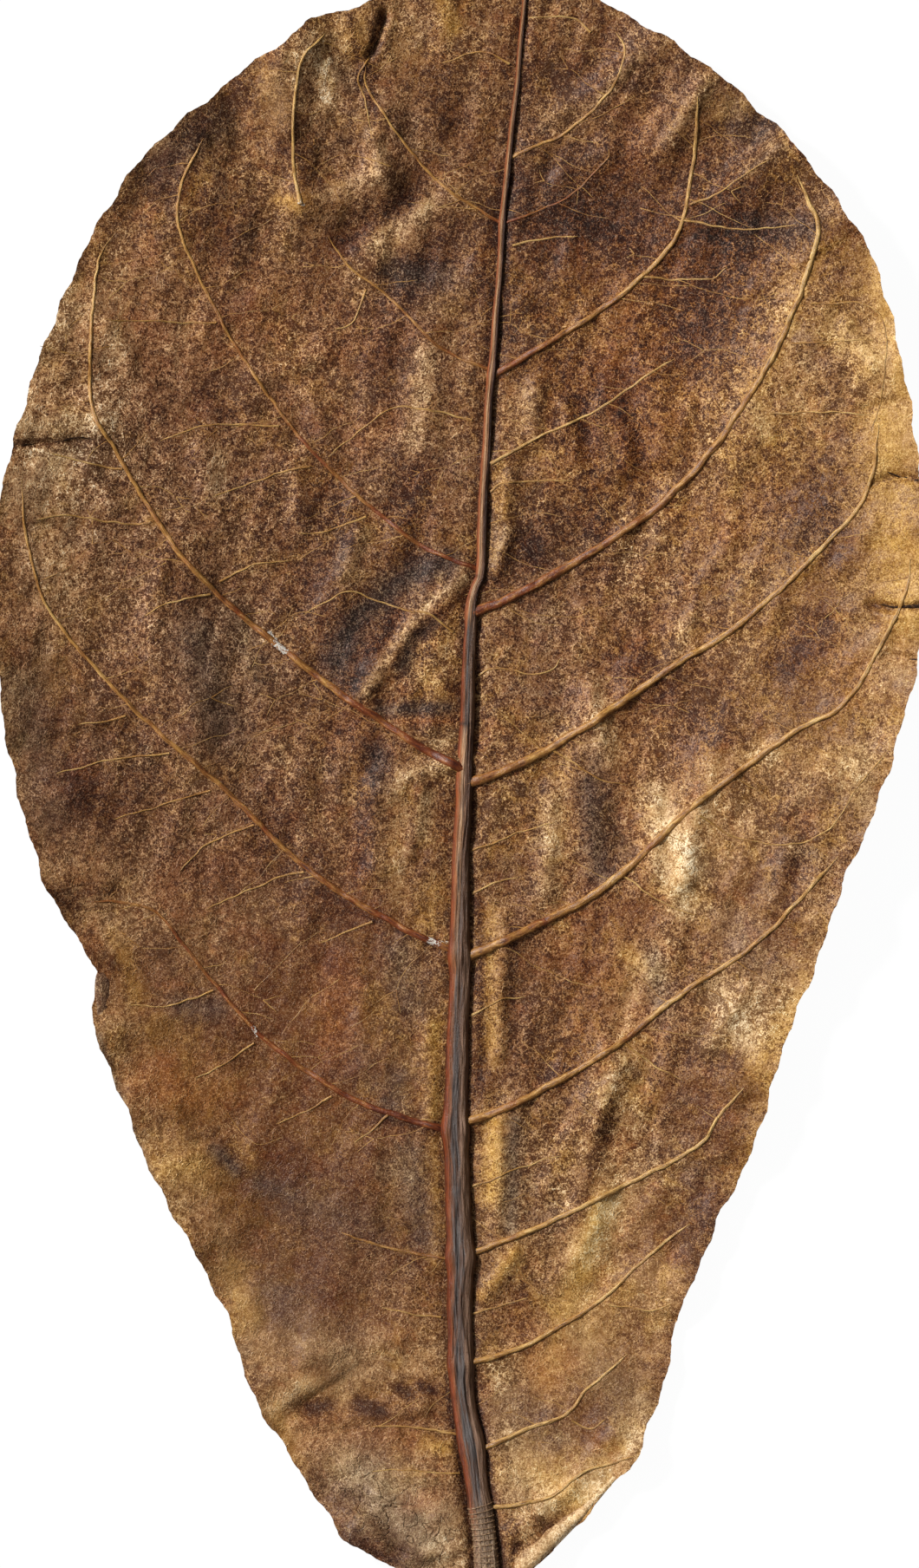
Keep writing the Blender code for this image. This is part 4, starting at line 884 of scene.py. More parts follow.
@dataclass(frozen=True)
class DryBlade:
    """Finish of the dried blade, a papery leather that dried brown cell by cell."""

    name: str = "dried_leaf_blade"
    speck_size: float = 0.23
    blot_size: float = 0.45
    clump_size: float = 0.9
    patch_size: float = 3.2
    cloud_size: float = 11.0
    cell_size: float = 1.2
    thread_mesh: float = 0.6
    wrinkle_size: float = 4.5
    speck_depth: float = 0.8
    blot_depth: float = 0.5
    painted_glint: float = 1.5
    wax: float = 0.05
    wax_roughness: float = 0.42
    gloss: float = 0.2
    ior: float = 1.45

    def material(self) -> bpy.types.Material:
        """Build the material.

        Dried leaf: its cells died one by one, so the eye sees dark mahogany specks crowded on a
        tan ground, a golden net of the finest veins and threads between them, stains laid over
        both, and a waxy sheen on what faces the light. The real net and its threads are 0.1 mm
        thick; here they are drawn about 0.2 mm thick, so they show. Light and shade are painted
        in as well: lighter and darker zones, a painted cream sheen on fold crests, painted glints
        on the bright grains, and painted shade in part of the dark and slate marks and in the
        crease lines of crumpled places.
        """
        s = Shader(self.name)
        tint_mark = {tint: s.attribute(tint.value) for tint in Tint}
        light = s.attribute("light")
        shifted = s.warp(2.4, 1.2)
        speck = s.grain(self.speck_size, 2.0, 0.7, 0.3, seed=1.0)
        blot = s.grain(self.blot_size, 3.0, 0.65, 0.8, seed=2.0)
        clump = s.grain(self.clump_size, 2.5, 0.65, 0.4, shifted, seed=6.0)
        patch = s.grain(self.patch_size, 3.0, 0.6, 0.6, seed=5.0)
        cloud = s.grain(self.cloud_size, 4.0, 0.62, 0.4, seed=4.0)
        net = s.math("MULTIPLY", s.cell_edges(shifted, self.cell_size, 10.0),
                     s.step_up(s.grain(2.6, 3.0, 0.65, 0.5, seed=8.0), 0.45, 0.65))
        thread = s.math("MULTIPLY", s.cell_edges(s.warp(0.7, 0.4, 9.0), self.thread_mesh, 6.5),
                        s.step_up(s.grain(1.3, 2.0, 0.6, 0.4, seed=15.0), 0.46, 0.6))
        crowd = s.mix_up(0.5, (
            (clump, 0.5, 0.65), (patch, 0.5, 0.5), (cloud, 0.5, 0.5), (net, 0.0, -0.3),
            (thread, 0.0, -0.12), (light, 0.0, -0.4), (tint_mark[Tint.DARK], 0.0, 0.14),
            (tint_mark[Tint.GOLD], 0.0, -0.1)))
        keep = s.math("MULTIPLY_ADD", tint_mark[Tint.CALM], -0.65, 1.0)
        specks = s.math("MULTIPLY", s.step_up(s.math("ADD", speck, crowd), 0.92, 1.08), keep)
        blots = s.math("MULTIPLY", s.step_up(s.math("ADD", blot, crowd), 0.95, 1.07), keep)
        lively = s.mix_up(1.02, (
            (s.grain(9.0, 3.0, 0.6, 0.4, seed=16.0), 0.5, 1.3), (s.attribute("lively"), 0.0, 1.0),
            (tint_mark[Tint.CALM], 0.0, -0.3)))
        fine = s.mix_up(0.0, (
            (net, 0.0, 0.13), (thread, 0.0, 0.19), (clump, 0.5, -0.43), (speck, 0.5, -0.8)))
        # The tone carries painted light along with the stains: the zones' painted light and shade, the
        # painted sheen of fold crests and the painted shade in the dark and slate marks
        tone = s.mix_up(0.468, (
            (s.math("MULTIPLY", fine, lively), 0.0, 1.0), (patch, 0.5, 0.24), (cloud, 0.5, 0.55),
            (light, 0.0, 1.62), (tint_mark[Tint.CALM], 0.0, -0.06), (tint_mark[Tint.GOLD], 0.0, 0.06),
            (tint_mark[Tint.PAINTED_SHEEN], 0.0, 0.13), (tint_mark[Tint.DARK], 0.0, -0.18),
            (tint_mark[Tint.SLATE_AND_SHADE], 0.0, -0.05)))
        colour = s.ramp(tone, (
            (0.0, "#240d03"), (0.16, "#3c1a06"), (0.3, "#542b10"), (0.42, "#6b411f"),
            (0.54, "#865c34"), (0.7, "#ad8252"), (0.86, "#dab583"), (1.0, "#f6e0ba")))
        warm = s.ramp(tone, (
            (0.0, "#251203"), (0.3, "#5f370d"), (0.54, "#9a6c26"), (0.8, "#cfa04c"), (1.0, "#eccb82")))
        red = s.ramp(tone, (
            (0.0, "#230b03"), (0.3, "#5e2a0b"), (0.54, "#935020"), (0.8, "#c88a4c"), (1.0, "#e4bb88")))
        plum = s.ramp(tone, (
            (0.0, "#1f0f09"), (0.3, "#502f20"), (0.54, "#886047"), (0.8, "#c49e80"), (1.0, "#ead2bc")))
        cream = s.ramp(tone, (
            (0.0, "#241509"), (0.3, "#5c4127"), (0.54, "#97744d"), (0.76, "#cbaa7c"), (1.0, "#f2dfbb")))
        grey = s.ramp(tone, ((0.0, "#17120f"), (0.3, "#3f3430"), (0.54, "#685a4c"), (1.0, "#a6967e")))
        # Wide drifts of each hue: size of the drifts, where they start and are full, most of the hue
        for number, (over, size, low, high, most) in enumerate((
                (warm, 7.0, 0.5, 0.64, 0.42), (red, 5.5, 0.54, 0.66, 0.35),
                (plum, 8.0, 0.52, 0.64, 0.12), (grey, 9.0, 0.54, 0.68, 0.22))):
            drift = s.grain(size, 3.0, 0.65, 0.5, seed=10.0 + number)
            colour = s.lay(over, s.step_up(drift, low, high), most, colour)
        # Gold, rust and plum are stains; the slate grey is partly painted shade, and the cream is a
        # painted sheen on fold crests
        for tint, most, over in (
                (Tint.GOLD, 0.75, warm), (Tint.RUST, 0.8, red), (Tint.PLUM, 0.6, plum),
                (Tint.SLATE_AND_SHADE, 0.7, grey), (Tint.PAINTED_SHEEN, 0.7, cream)):
            colour = s.lay(over, tint_mark[tint], most, colour)
        for dots, depth in ((blots, self.blot_depth), (specks, self.speck_depth)):
            colour = s.lay(srgb("#a48f76"), dots, depth, colour, "MULTIPLY")
        # Painted glints: a neutral grey added on the bright grains between the specks
        painted_glint = s.step_up(s.math("SUBTRACT", 1.0, speck), 0.5, 0.7)
        colour = s.lay(srgb("#4c463c"), painted_glint, self.painted_glint, colour, "ADD")
        # Painted shade: the crease lines of the crumpled places are darkened
        lines = s.near_half(s.grain(self.wrinkle_size, 2.0, 0.5, 1.2, seed=13.0), 0.03)
        lines = s.math("MULTIPLY", lines, tint_mark[Tint.CRUMPLED])
        colour = s.lay(srgb("#a08770"), lines, 0.6, colour, "MULTIPLY")
        smooth = s.ramp(tone, ((0.2, "#2f2415"), (0.8, "#6a5230")))
        colour = s.blend(s.attribute("under"), s.crusted(colour, speck), smooth)
        s.bump(s.mix_up(0.0, (
            (speck, 0.0, -0.14), (clump, 0.0, 0.34), (net, 0.0, 0.2), (thread, 0.0, 0.13),
            (patch, 0.0, 0.8), (lines, 0.0, -0.35))), 0.4, 0.9)
        roughness = s.mix_up(0.34, ((speck, 0.0, 0.2), (specks, 0.0, 0.35)))
        s.surface.inputs["Specular IOR Level"].default_value = self.gloss
        s.surface.inputs["Coat Weight"].default_value = self.wax
        s.surface.inputs["Coat Roughness"].default_value = self.wax_roughness
        return s.finish(colour, roughness, self.ior)


@dataclass(frozen=True)
class DryRib:
    """Finish of the midrib and the stalk, woody and wrinkled lengthwise."""

    name: str = "dried_midrib"
    streaks_across: float = 6.0
    streak_length: float = 4.5
    ior: float = 1.5

    def material(self) -> bpy.types.Material:
        """Build the material.

        Dried leaf stalk: the skin has shrunk onto lengthwise strands, so the crown shows a waxy
        blue-grey bloom broken by rust and tan streaks, and the flanks their rust-red strands. Where
        there is no bloom, a cream streak along the left shoulder is a painted highlight and the right
        flank is painted darker as shade.
        """
        s = Shader(self.name)
        across, run = s.attribute("across"), s.attribute("run")
        where = add_node(s.tree, "ShaderNodeCombineXYZ",
                         {"X": s.math("MULTIPLY", across, self.streaks_across),
                          "Y": s.math("MULTIPLY", run, 1 / self.streak_length)}).outputs["Vector"]
        streak = s.grain(1.0, 5.0, 0.68, 0.35, where)
        other = s.grain(0.7, 4.0, 0.66, 0.3, where, seed=4.0)
        fleck = s.grain(0.35, 3.0, 0.7)
        wander = s.math("MULTIPLY_ADD", s.math("SUBTRACT", streak, 0.5), 1.1, across)
        place = s.math("MULTIPLY_ADD", wander, 0.5, 0.5)
        aged = s.ramp(place, (
            (0.0, "#53240d"), (0.12, "#853d14"), (0.24, "#7a4a2a"), (0.4, "#574033"),
            (0.56, "#5c4335"), (0.7, "#7c5e49"), (0.85, "#785a44"), (1.0, "#6a4d3a")))
        # Without bloom: the cream stop along the left shoulder is a painted highlight, and the darker
        # right flank is painted shade
        fresh = s.ramp(place, (
            (0.0, "#75361a"), (0.13, "#9c5529"), (0.27, "#a86f42"), (0.36, "#cba27a"),
            (0.48, "#a2744c"), (0.64, "#63402a"), (0.82, "#452b1c"), (1.0, "#332015")))
        skin = s.blend(s.step_up(s.attribute("bloom"), 0.3, 0.8), fresh, aged)
        rough = s.ramp(other, ((0.3, "#7e746c"), (0.46, "#c8c0b8"), (0.6, "#ffffff")))
        skin = s.blend(0.85, skin, rough, "MULTIPLY")
        grey = s.ramp(other, ((0.3, "#37302d"), (0.5, "#4f4845"), (0.66, "#69625e"), (0.8, "#8b837c")))
        off_middle = s.math("ABSOLUTE", s.math("ADD", wander, 0.1))
        middle = s.step_up(s.math("SUBTRACT", 1.0, off_middle), 0.56, 0.76)
        broken = s.step_up(s.grain(1.6, 3.0, 0.7, 0.4, where, seed=7.0), 0.42, 0.58)
        amount = s.math("MULTIPLY", s.math("MULTIPLY", middle, broken), s.attribute("bloom"))
        colour = s.blend(amount, skin, grey)
        dusty = s.ramp(fleck, ((0.35, "#453325"), (0.5, "#7d634a"), (0.68, "#b09673")))
        colour = s.lay(dusty, s.attribute("ringed"), 0.8, colour)
        colour = s.blend(s.attribute("scar"), colour, srgb("#170d08"))
        s.bump(s.mix_up(0.0, ((other, 0.0, 1.0), (fleck, 0.0, 0.4))), 0.3, 0.8)
        s.surface.inputs["Specular IOR Level"].default_value = 0.35
        return s.finish(colour, s.math("MULTIPLY_ADD", other, 0.35, 0.27), self.ior)


@dataclass(frozen=True)
class DryVein:
    """Finish of a raised vein, a dry cord, rust-brown at its root and golden further out."""

    name: str = "dried_vein"
    streak_length: float = 2.6
    ior: float = 1.5

    def material(self) -> bpy.types.Material:
        """Build the material.

        Dried vein: a cord of strands in a shrunken skin, so light tan and dark brown streaks run
        along it, and it catches a narrow highlight along its lit side.
        """
        s = Shader(self.name)
        turn = s.math("MULTIPLY", s.attribute("around"), 2 * math.pi)
        where = add_node(s.tree, "ShaderNodeCombineXYZ",
                         {"X": s.math("COSINE", turn), "Y": s.math("SINE", turn),
                          "Z": s.math("MULTIPLY", s.attribute("run"), 1 / self.streak_length)})
        streak = s.grain(0.7, 4.0, 0.68, 0.3, where.outputs["Vector"])
        fleck = s.grain(0.35, 3.0, 0.7)
        patch = s.grain(4.0, 3.0, 0.6, seed=2.0)
        out = s.mix_up(0.0, ((s.attribute("out"), 0.0, 1.0), (patch, 0.5, 1.3), (streak, 0.5, 0.5)))
        colour = s.ramp(out, (
            (0.0, "#64290f"), (0.22, "#87451d"), (0.45, "#a06b34"), (0.7, "#bd8c48"), (1.0, "#dab26c")))
        rough = s.ramp(streak, ((0.32, "#6e5c50"), (0.46, "#c8beb4"), (0.6, "#ffffff")))
        colour = s.blend(0.9, colour, rough, "MULTIPLY")
        pale = s.step_up(s.mix_up(0.0, ((streak, 0.0, 0.6), (fleck, 0.0, 0.4))), 0.55, 0.66)
        colour = s.crusted(s.lay(srgb("#d8b67c"), pale, 0.55, colour), fleck)
        s.bump(s.mix_up(0.0, ((streak, 0.0, 1.0), (fleck, 0.0, 0.5))), 0.22, 0.8)
        return s.finish(colour, s.math("MULTIPLY_ADD", fleck, 0.35, 0.24), self.ior)


@dataclass(frozen=True)
class CreaseShade:
    """Finish of the dark cords laid in the margin's creases as painted shade."""

    name: str = "dried_leaf_crease_shade"
    grain_size: float = 0.5
    roughness: float = 0.7
    gloss: float = 0.2
    ior: float = 1.45

    def material(self) -> bpy.types.Material:
        """Build the material.

        Painted shade in a crease of the dry margin: a near-black brown line with a little dusty
        grain and no sheen.
        """
        s = Shader(self.name)
        dust = s.grain(self.grain_size, 3.0, 0.65)
        colour = s.ramp(dust, ((0.35, "#1b0f08"), (0.55, "#342012"), (0.7, "#6a4a2c")))
        s.bump(dust, 0.2, 0.8)
        s.surface.inputs["Specular IOR Level"].default_value = self.gloss
        return s.finish(colour, self.roughness, self.ior)


@dataclass(frozen=True)
class PalePaper:
    """Finish of the floor, a smooth pale sheet lit from below so that shadows on it stay light."""

    name: str = "pale_paper"
    colour: str = "#2c2c2b"
    glow: float = 0.97
    roughness: float = 0.9
    ior: float = 1.45

    def material(self) -> bpy.types.Material:
        """Build the material."""
        s = Shader(self.name)
        s.surface.inputs["Emission Color"].default_value = srgb("#ffffff")
        s.surface.inputs["Emission Strength"].default_value = self.glow
        colour = s.ramp(s.grain(40.0, 1.0), ((0.0, self.colour), (1.0, self.colour)))
        return s.finish(colour, self.roughness, self.ior)


def set_attributes(mesh: bpy.types.Mesh, values: dict[str, np.ndarray]) -> None:
    """Keep values at a mesh's points, under their names."""
    for label, amounts in values.items():
        layer = mesh.attributes.new(label, "FLOAT", "POINT")
        layer.data.foreach_set("value", np.asarray(amounts, np.float32))


def new_piece(name: str, verts: np.ndarray, faces: Sequence[Sequence[int]],
              attributes: dict[str, np.ndarray], material: bpy.types.Material) -> Piece:
    """Make a mesh object from points in millimetres.

    Args:
        name: Name of the piece.
        verts: Its points.
        faces: Its faces, with their fronts outward.
        attributes: Values at the points, by name.
        material: Its finish.

    Returns:
        The object, at the origin.
    """
    mesh = bpy.data.meshes.new(name)
    mesh.from_pydata((verts * MM).tolist(), [], faces)
    mesh.validate()
    set_attributes(mesh, attributes)
    mesh.shade_smooth()
    mesh.set_sharp_from_angle(angle=SHARP_TURN)
    mesh.materials.append(material)
    piece = bpy.data.objects.new(name, mesh)
    bpy.context.scene.collection.objects.link(piece)
    return piece


def settle(piece: Piece) -> None:
    """Make a piece part of the leaf, in place of its plain solid."""
    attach(piece, "root")
    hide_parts("leaf")
    LOG.info("%s: %d faces", piece.name, len(piece.data.polygons))


def triangulate(ring: np.ndarray, inside: np.ndarray) -> tuple[np.ndarray, np.ndarray]:
    """Fill a ring with triangles.

    Args:
        ring: The outline, counter-clockwise.
        inside: Points within it.

    Returns:
        All the points, the ring first, and the triangles by their numbers.
    """
    points = np.vstack([ring, inside])
    _, _, faces, origin, _, _ = delaunay_2d_cdt(
        [Vector(p) for p in points], [], [list(range(len(ring)))], 1, 1e-4)
    back = np.array([was[0] for was in origin])
    return points, back[np.array(faces)]


def lattice(ring: np.ndarray, step: float, clear: float) -> tuple[np.ndarray, np.ndarray]:
    """Lay points in rows over a ring's box.

    Args:
        ring: The outline.
        step: Distance between neighbours.
        clear: Points nearer the outline than this are left out.

    Returns:
        The points, and how far each is from the outline.
    """
    low, high = ring.min(0), ring.max(0)
    rows = []
    for k, y in enumerate(np.arange(low[1], high[1], step * math.sin(math.pi / 3))):
        x = np.arange(low[0] + (k % 2) * step / 2, high[0], step)
        rows.append(np.column_stack([x, np.full(len(x), y)]))
    spots = np.vstack(rows)
    away = from_line(ring, spots)
    return spots[away > clear], away[away > clear]


def from_line(line: np.ndarray, spots: np.ndarray) -> np.ndarray:
    """Return the distance of each spot from the nearest point of a finely stepped line."""
    tree = kdtree.KDTree(len(line))
    for k, (x, y) in enumerate(line):
        tree.insert((x, y, 0.0), k)
    tree.balance()
    return np.array([tree.find((x, y, 0.0))[2] for x, y in spots])


def tube_faces(stations: int, sides: int) -> list[tuple[int, ...]]:
    """Return the faces of a closed tube, whose points go round it at station after station."""
    faces: list[tuple[int, ...]] = []
    for a in range(0, (stations - 1) * sides, sides):
        b = a + sides
        for j in range(sides):
            k = (j + 1) % sides
            faces.append((a + j, a + k, b + k, b + j))
    faces.append(tuple(range(sides))[::-1])
    faces.append(tuple(range((stations - 1) * sides, stations * sides)))
    return faces


class Half(Enum):
    """The two halves of the blade, on either side of the midrib."""

    LEFT = "left"
    RIGHT = "right"


@dataclass
class Blade:
    """The blade's two halves, closed thin bodies that meet under the midrib."""

    form: BladeForm
    top_step: float = 0.6
    under_step: float = 1.1
    rim_step: float = 0.6
    clear_share: float = 0.55
    under_midrib: float = 0.75
    tuck_end: tuple[float, float] = (132.5, 4.0)
    inner_side: tuple[float, float] = (-115.7, 132.2)
    left_tuck: Path = ((2.7, -122.4), (2.5, -116.2))
    right_tuck: Path = ((5.4, -116.2), (6.3, -121.6))
    # Painted shadow in the gap beside the midrib: its darkness along the leaf, how far out from the rib's
    # flank its middle lies, and its half-width
    slit_shade: Stations = (
        (-133, 1.7), (-106, 1.6), (-90, 0.9), (-75, 0.4), (-20, 0.4), (40, 0.6), (133, 0.5))
    slit_shade_middle: float = 0.3
    slit_shade_width: float = 0.48

    def ring(self, half: Half) -> np.ndarray:
        """Return a half's outline, counter-clockwise, with its inner side under the midrib."""
        centre = rib_line(self.rim_step)
        y = centre[:, 1]
        end, run = self.tuck_end
        tuck = self.under_midrib * rib_width(y) / 2 * ease(end - y, 0.0, run)
        side = left_normals(centre) * tuck[:, None]
        keep = (y > self.inner_side[0]) & (y < self.inner_side[1])
        if half is Half.LEFT:
            margin = self.form.margin(LEFT_MARGIN[:-2] + self.left_tuck, self.rim_step)
            return np.vstack([margin, (centre + side)[keep]])
        margin = self.form.margin(self.right_tuck + RIGHT_MARGIN[2:], self.rim_step)
        return np.vstack([(centre - side)[keep][::-1], margin])

    def stains(self, spots: np.ndarray) -> dict[str, np.ndarray]:
        """Return at each spot the strength of every tint, stains and painted light alike, with the painted
        shadow of the gap beside the midrib among the dark ones, and how light and lively it is there.
        """
        found = {tint.value: strongest(marks, spots) for tint, marks in STAINS_AND_PAINTED_LIGHT.items()}
        found["light"] = pile_up(TONE_AND_LIGHT_ZONES, spots)
        found["lively"] = pile_up(LIVELY, spots)
        # Painted shadow in the gap beside the midrib, laid in with the dark marks
        away = (beside_rib(spots) - self.slit_shade_middle) / self.slit_shade_width
        slit_shade = np.exp(-(away**2)) * at_stations(self.slit_shade, spots[:, 1])
        found[Tint.DARK.value] = np.maximum(found[Tint.DARK.value], slit_shade)
        return found

    def build(self, half: Half, material: bpy.types.Material) -> Piece:
        """Build one half.

        Args:
            half: Which half.
            material: Finish of the blade.

        Returns:
            The piece.
        """
        ring = self.ring(half)
        rim = np.zeros(len(ring))
        clear = self.clear_share * self.rim_step
        upper_spots, upper_gap = lattice(ring, self.top_step, clear)
        lower_spots, lower_gap = lattice(ring, self.under_step, clear)
        above, faces_above = triangulate(ring, upper_spots)
        below, faces_below = triangulate(ring, lower_spots)
        top = self.form.faces(above, np.concatenate([rim, upper_gap]))[0]
        bottom = self.form.faces(below, np.concatenate([rim, lower_gap]))[1]
        count = len(above)
        faces = faces_above.tolist() + (faces_below[:, ::-1] + count).tolist()
        following = np.roll(np.arange(len(ring)), -1)
        for a, b in zip(range(len(ring)), following.tolist()):
            faces += [(b, a, a + count), (b, a + count, b + count)]
        verts = np.vstack([np.column_stack([above, top]), np.column_stack([below, bottom])])
        used, corners = np.unique([n for face in faces for n in face], return_inverse=True)
        attributes = self.stains(verts[used, :2])
        attributes["under"] = (used >= count).astype(float)
        piece = new_piece(f"blade_{half.value}", verts[used], corners.reshape(-1, 3).tolist(),
                          attributes, material)
        settle(piece)
        return piece


def at_stations(stations: Stations, y: np.ndarray) -> np.ndarray:
    """Return the values between stations."""
    places, values = np.array(stations, float).T
    return np.interp(y, places, values)


def rib_width(y: np.ndarray) -> np.ndarray:
    """Return the midrib's width at each Y."""
    return at_stations(Midrib.widths, y)


@dataclass
class Midrib:
    """The midrib, which runs on as the stalk: a woody bar with a flattened, wrinkled crown."""

    form: BladeForm
    widths: Stations = (
        (-133, 4.4), (-122, 4.1), (-111, 3.6), (-105, 3.8), (-92, 4.0), (-70, 4.3), (-50, 4.0),
        (-36, 3.6), (-22, 3.3), (-8, 2.9), (5, 2.6), (20, 2.3), (29, 2.0), (38, 1.7), (47, 1.6),
        (89, 1.1), (117, 0.9), (133, 0.75),
    )
    rise: Stations = ((-133, 0.28), (-60, 0.28), (-20, 0.36), (20, 0.44), (133, 0.46))
    bloom: Stations = (
        (-133, 0.3), (-112, 0.6), (-106, 0.95), (-40, 0.8), (0, 0.45), (12, 0.3), (17, 1.0),
        (28, 1.0), (34, 0.2), (60, 0.0), (133, 0.0),
    )
    step: float = 0.55
    over: int = 44
    under: int = 8
    wrinkles: tuple[tuple[float, float, float], ...] = (
        (0.13, 2.2, 9.0), (0.07, 5.0, 5.0), (0.04, 9.0, 2.0))
    lift: float = 0.05
    belly: float = 1.5
    belly_from: float = -100.0
    free_from: float = -117.5
    scars: tuple[tuple[float, float, float], ...] = (
        (14.9, 0.22, 0.9), (38.5, 0.25, 0.5), (93.5, 0.2, 0.4))
    ringed: tuple[float, float] = (108.0, 116.0)
    knot: tuple[float, float] = (0.12, 1.6)
    uneven: tuple[float, float] = (0.05, 7.0)

    def girth(self, y: np.ndarray) -> np.ndarray:
        """Return the share by which the rib swells at each Y, at its joins with side veins."""
        size, half = self.knot
        share, length = self.uneven
        swell = share * hills(np.column_stack([y / length, np.zeros(len(y))]), 1.0, 3, 4.0)
        # The last side vein starts away from the midrib
        for path in SIDE_VEINS[:-1]:
            swell += size * np.exp(-(((y - path[0][1]) / half) ** 2))
        return 1 + swell

    def build(self, material: bpy.types.Material) -> Piece:
        """Build the midrib and the stalk.

        Args:
            material: Finish of the midrib.

        Returns:
            The piece.
        """
        line = rib_line(self.step)
        y = line[:, 1]
        half = rib_width(y) / 2 * self.girth(y)
        rise = 2 * half * at_stations(self.rise, y)
        side = -left_normals(line)
        lie = self.form.lie(line)
        belly = self.belly * ease(-y, -self.belly_from, -self.free_from)
        over = np.linspace(-1.0, 1.0, self.over)
        under = np.linspace(1.0, -1.0, self.under + 2)[1:-1]
        around = []
        for u in over:
            wrinkle = np.zeros(len(line))
            for size, turns, length in self.wrinkles:
                where = np.column_stack([np.full(len(line), u * turns), y / length])
                wrinkle += size * hills(where, 1.0, 2, turns)
            wrinkle *= half * (1 - u**6)
            crown = rise * max(0.0, 1 - abs(u) ** 3) ** 0.6
            z = lie + self.form.thickness + crown + wrinkle
            around.append(np.column_stack([line + side * (half * u)[:, None], z]))
        for u in under:
            z = np.clip(lie + self.lift - belly * math.sqrt(1 - u**2), 0.0, None)
            around.append(np.column_stack([line + side * (half * u)[:, None], z]))
        verts = np.stack(around, axis=1).reshape(-1, 3)
        faces = tube_faces(len(line), len(around))
        run = np.repeat(y, len(around))
        scars = [strength * np.exp(-(((verts[:, 1] - at) / size) ** 2))
                 for at, size, strength in self.scars]
        attributes = {
            "across": np.tile(np.concatenate([over, under]), len(line)),
            "run": run,
            "bloom": at_stations(self.bloom, run),
            "ringed": ease(-run, *self.ringed),
            "scar": sum(scars),
        }
        piece = new_piece("midrib_and_stalk", verts, faces, attributes, material)
        settle(piece)
        return piece


class LineTree:
    """A geometry tree that grows a piece along lines of edges."""

    def __init__(self, name: str, kinds: dict[str, str]) -> None:
        """Start the tree with its inputs, and turn the lines to curves with upright normals.

        Args:
            name: Its name.
            kinds: Socket types of its inputs, by their names.
        """
        self.tree = bpy.data.node_groups.new(name, "GeometryNodeTree")
        face = self.tree.interface
        face.new_socket("Geometry", in_out="INPUT", socket_type="NodeSocketGeometry")
        self.keys = {label: face.new_socket(label, in_out="INPUT", socket_type=kind).identifier
                     for label, kind in kinds.items()}
        face.new_socket("Geometry", in_out="OUTPUT", socket_type="NodeSocketGeometry")
        self.given = add_node(self.tree, "NodeGroupInput").outputs
        curve = add_node(self.tree, "GeometryNodeMeshToCurve", {"Mesh": self.given["Geometry"]}).outputs[0]
        self.curve = add_node(self.tree, "GeometryNodeSetCurveNormal", {"Curve": curve},
                              mode="Z_UP").outputs[0]

    def circle(self, sides: Any, radius: Any) -> Socket:
        """Return a circle of so many sides."""
        return add_node(self.tree, "GeometryNodeCurvePrimitiveCircle",
                        {"Resolution": sides, "Radius": radius}).outputs[0]

    def attribute(self, name: str) -> Socket:
        """Return an attribute of the lines."""
        return add_node(self.tree, "GeometryNodeInputNamedAttribute", {"Name": name}).outputs[0]

    def keep(self, geometry: Socket, name: str, value: Any) -> Socket:
        """Return a geometry whose points keep a value under a name."""
        return add_node(self.tree, "GeometryNodeStoreNamedAttribute",
                        {"Geometry": geometry, "Name": name, "Value": value},
                        data_type="FLOAT", domain="POINT").outputs[0]

    def times(self, a: Any, b: Any) -> Socket:
        """Return the product of two numbers."""
        return add_node(self.tree, "ShaderNodeMath", {0: a, 1: b}, operation="MULTIPLY").outputs[0]

    def between(self, low: Any, high: Any) -> Socket:
        """Return a random number for each point, drawn with the tree's seed."""
        return add_node(self.tree, "FunctionNodeRandomValue",
                        {2: low, 3: high, "Seed": self.given["Seed"]}, data_type="FLOAT").outputs[1]

    def close(self, geometry: Socket) -> None:
        """Shade the geometry smooth, make it real, give it the finish and put it out."""
        for kind, more in (("GeometryNodeSetShadeSmooth", {}), ("GeometryNodeRealizeInstances", {}),
                           ("GeometryNodeSetMaterial", {"Material": self.given["Finish"]})):
            geometry = add_node(self.tree, kind, {"Geometry": geometry, **more}).outputs[0]
        add_node(self.tree, "NodeGroupOutput", {"Geometry": geometry})

    def grow(self, name: str, lines: Sequence[np.ndarray], values: dict[str, np.ndarray],
             inputs: dict[str, Any]) -> Piece:
        """Grow a piece along lines.

        Args:
            name: Name of the piece.
            lines: Points of each line, in millimetres.
            values: Attributes at all the points, in order.
            inputs: The tree's inputs, by their names.

        Returns:
            The piece as a plain mesh.
        """
        mesh = bpy.data.meshes.new(name + "_lines")
        edges, first = [], 0
        for line in lines:
            edges += [(k, k + 1) for k in range(first, first + len(line) - 1)]
            first += len(line)
        mesh.from_pydata((np.vstack(lines) * MM).tolist(), edges, [])
        set_attributes(mesh, values)
        guide = bpy.data.objects.new(name + "_lines", mesh)
        bpy.context.scene.collection.objects.link(guide)
        modifier = guide.modifiers.new("growth", "NODES")
        modifier.node_group = self.tree
        for label, value in inputs.items():
            modifier[self.keys[label]] = value
        graph = bpy.context.evaluated_depsgraph_get()
        made = bpy.data.meshes.new_from_object(guide.evaluated_get(graph))
        made.name = name
        guide.modifiers.remove(modifier)
        bpy.data.objects.remove(guide, do_unlink=True)
        piece = bpy.data.objects.new(name, made)
        bpy.context.scene.collection.objects.link(piece)
        settle(piece)
        return piece


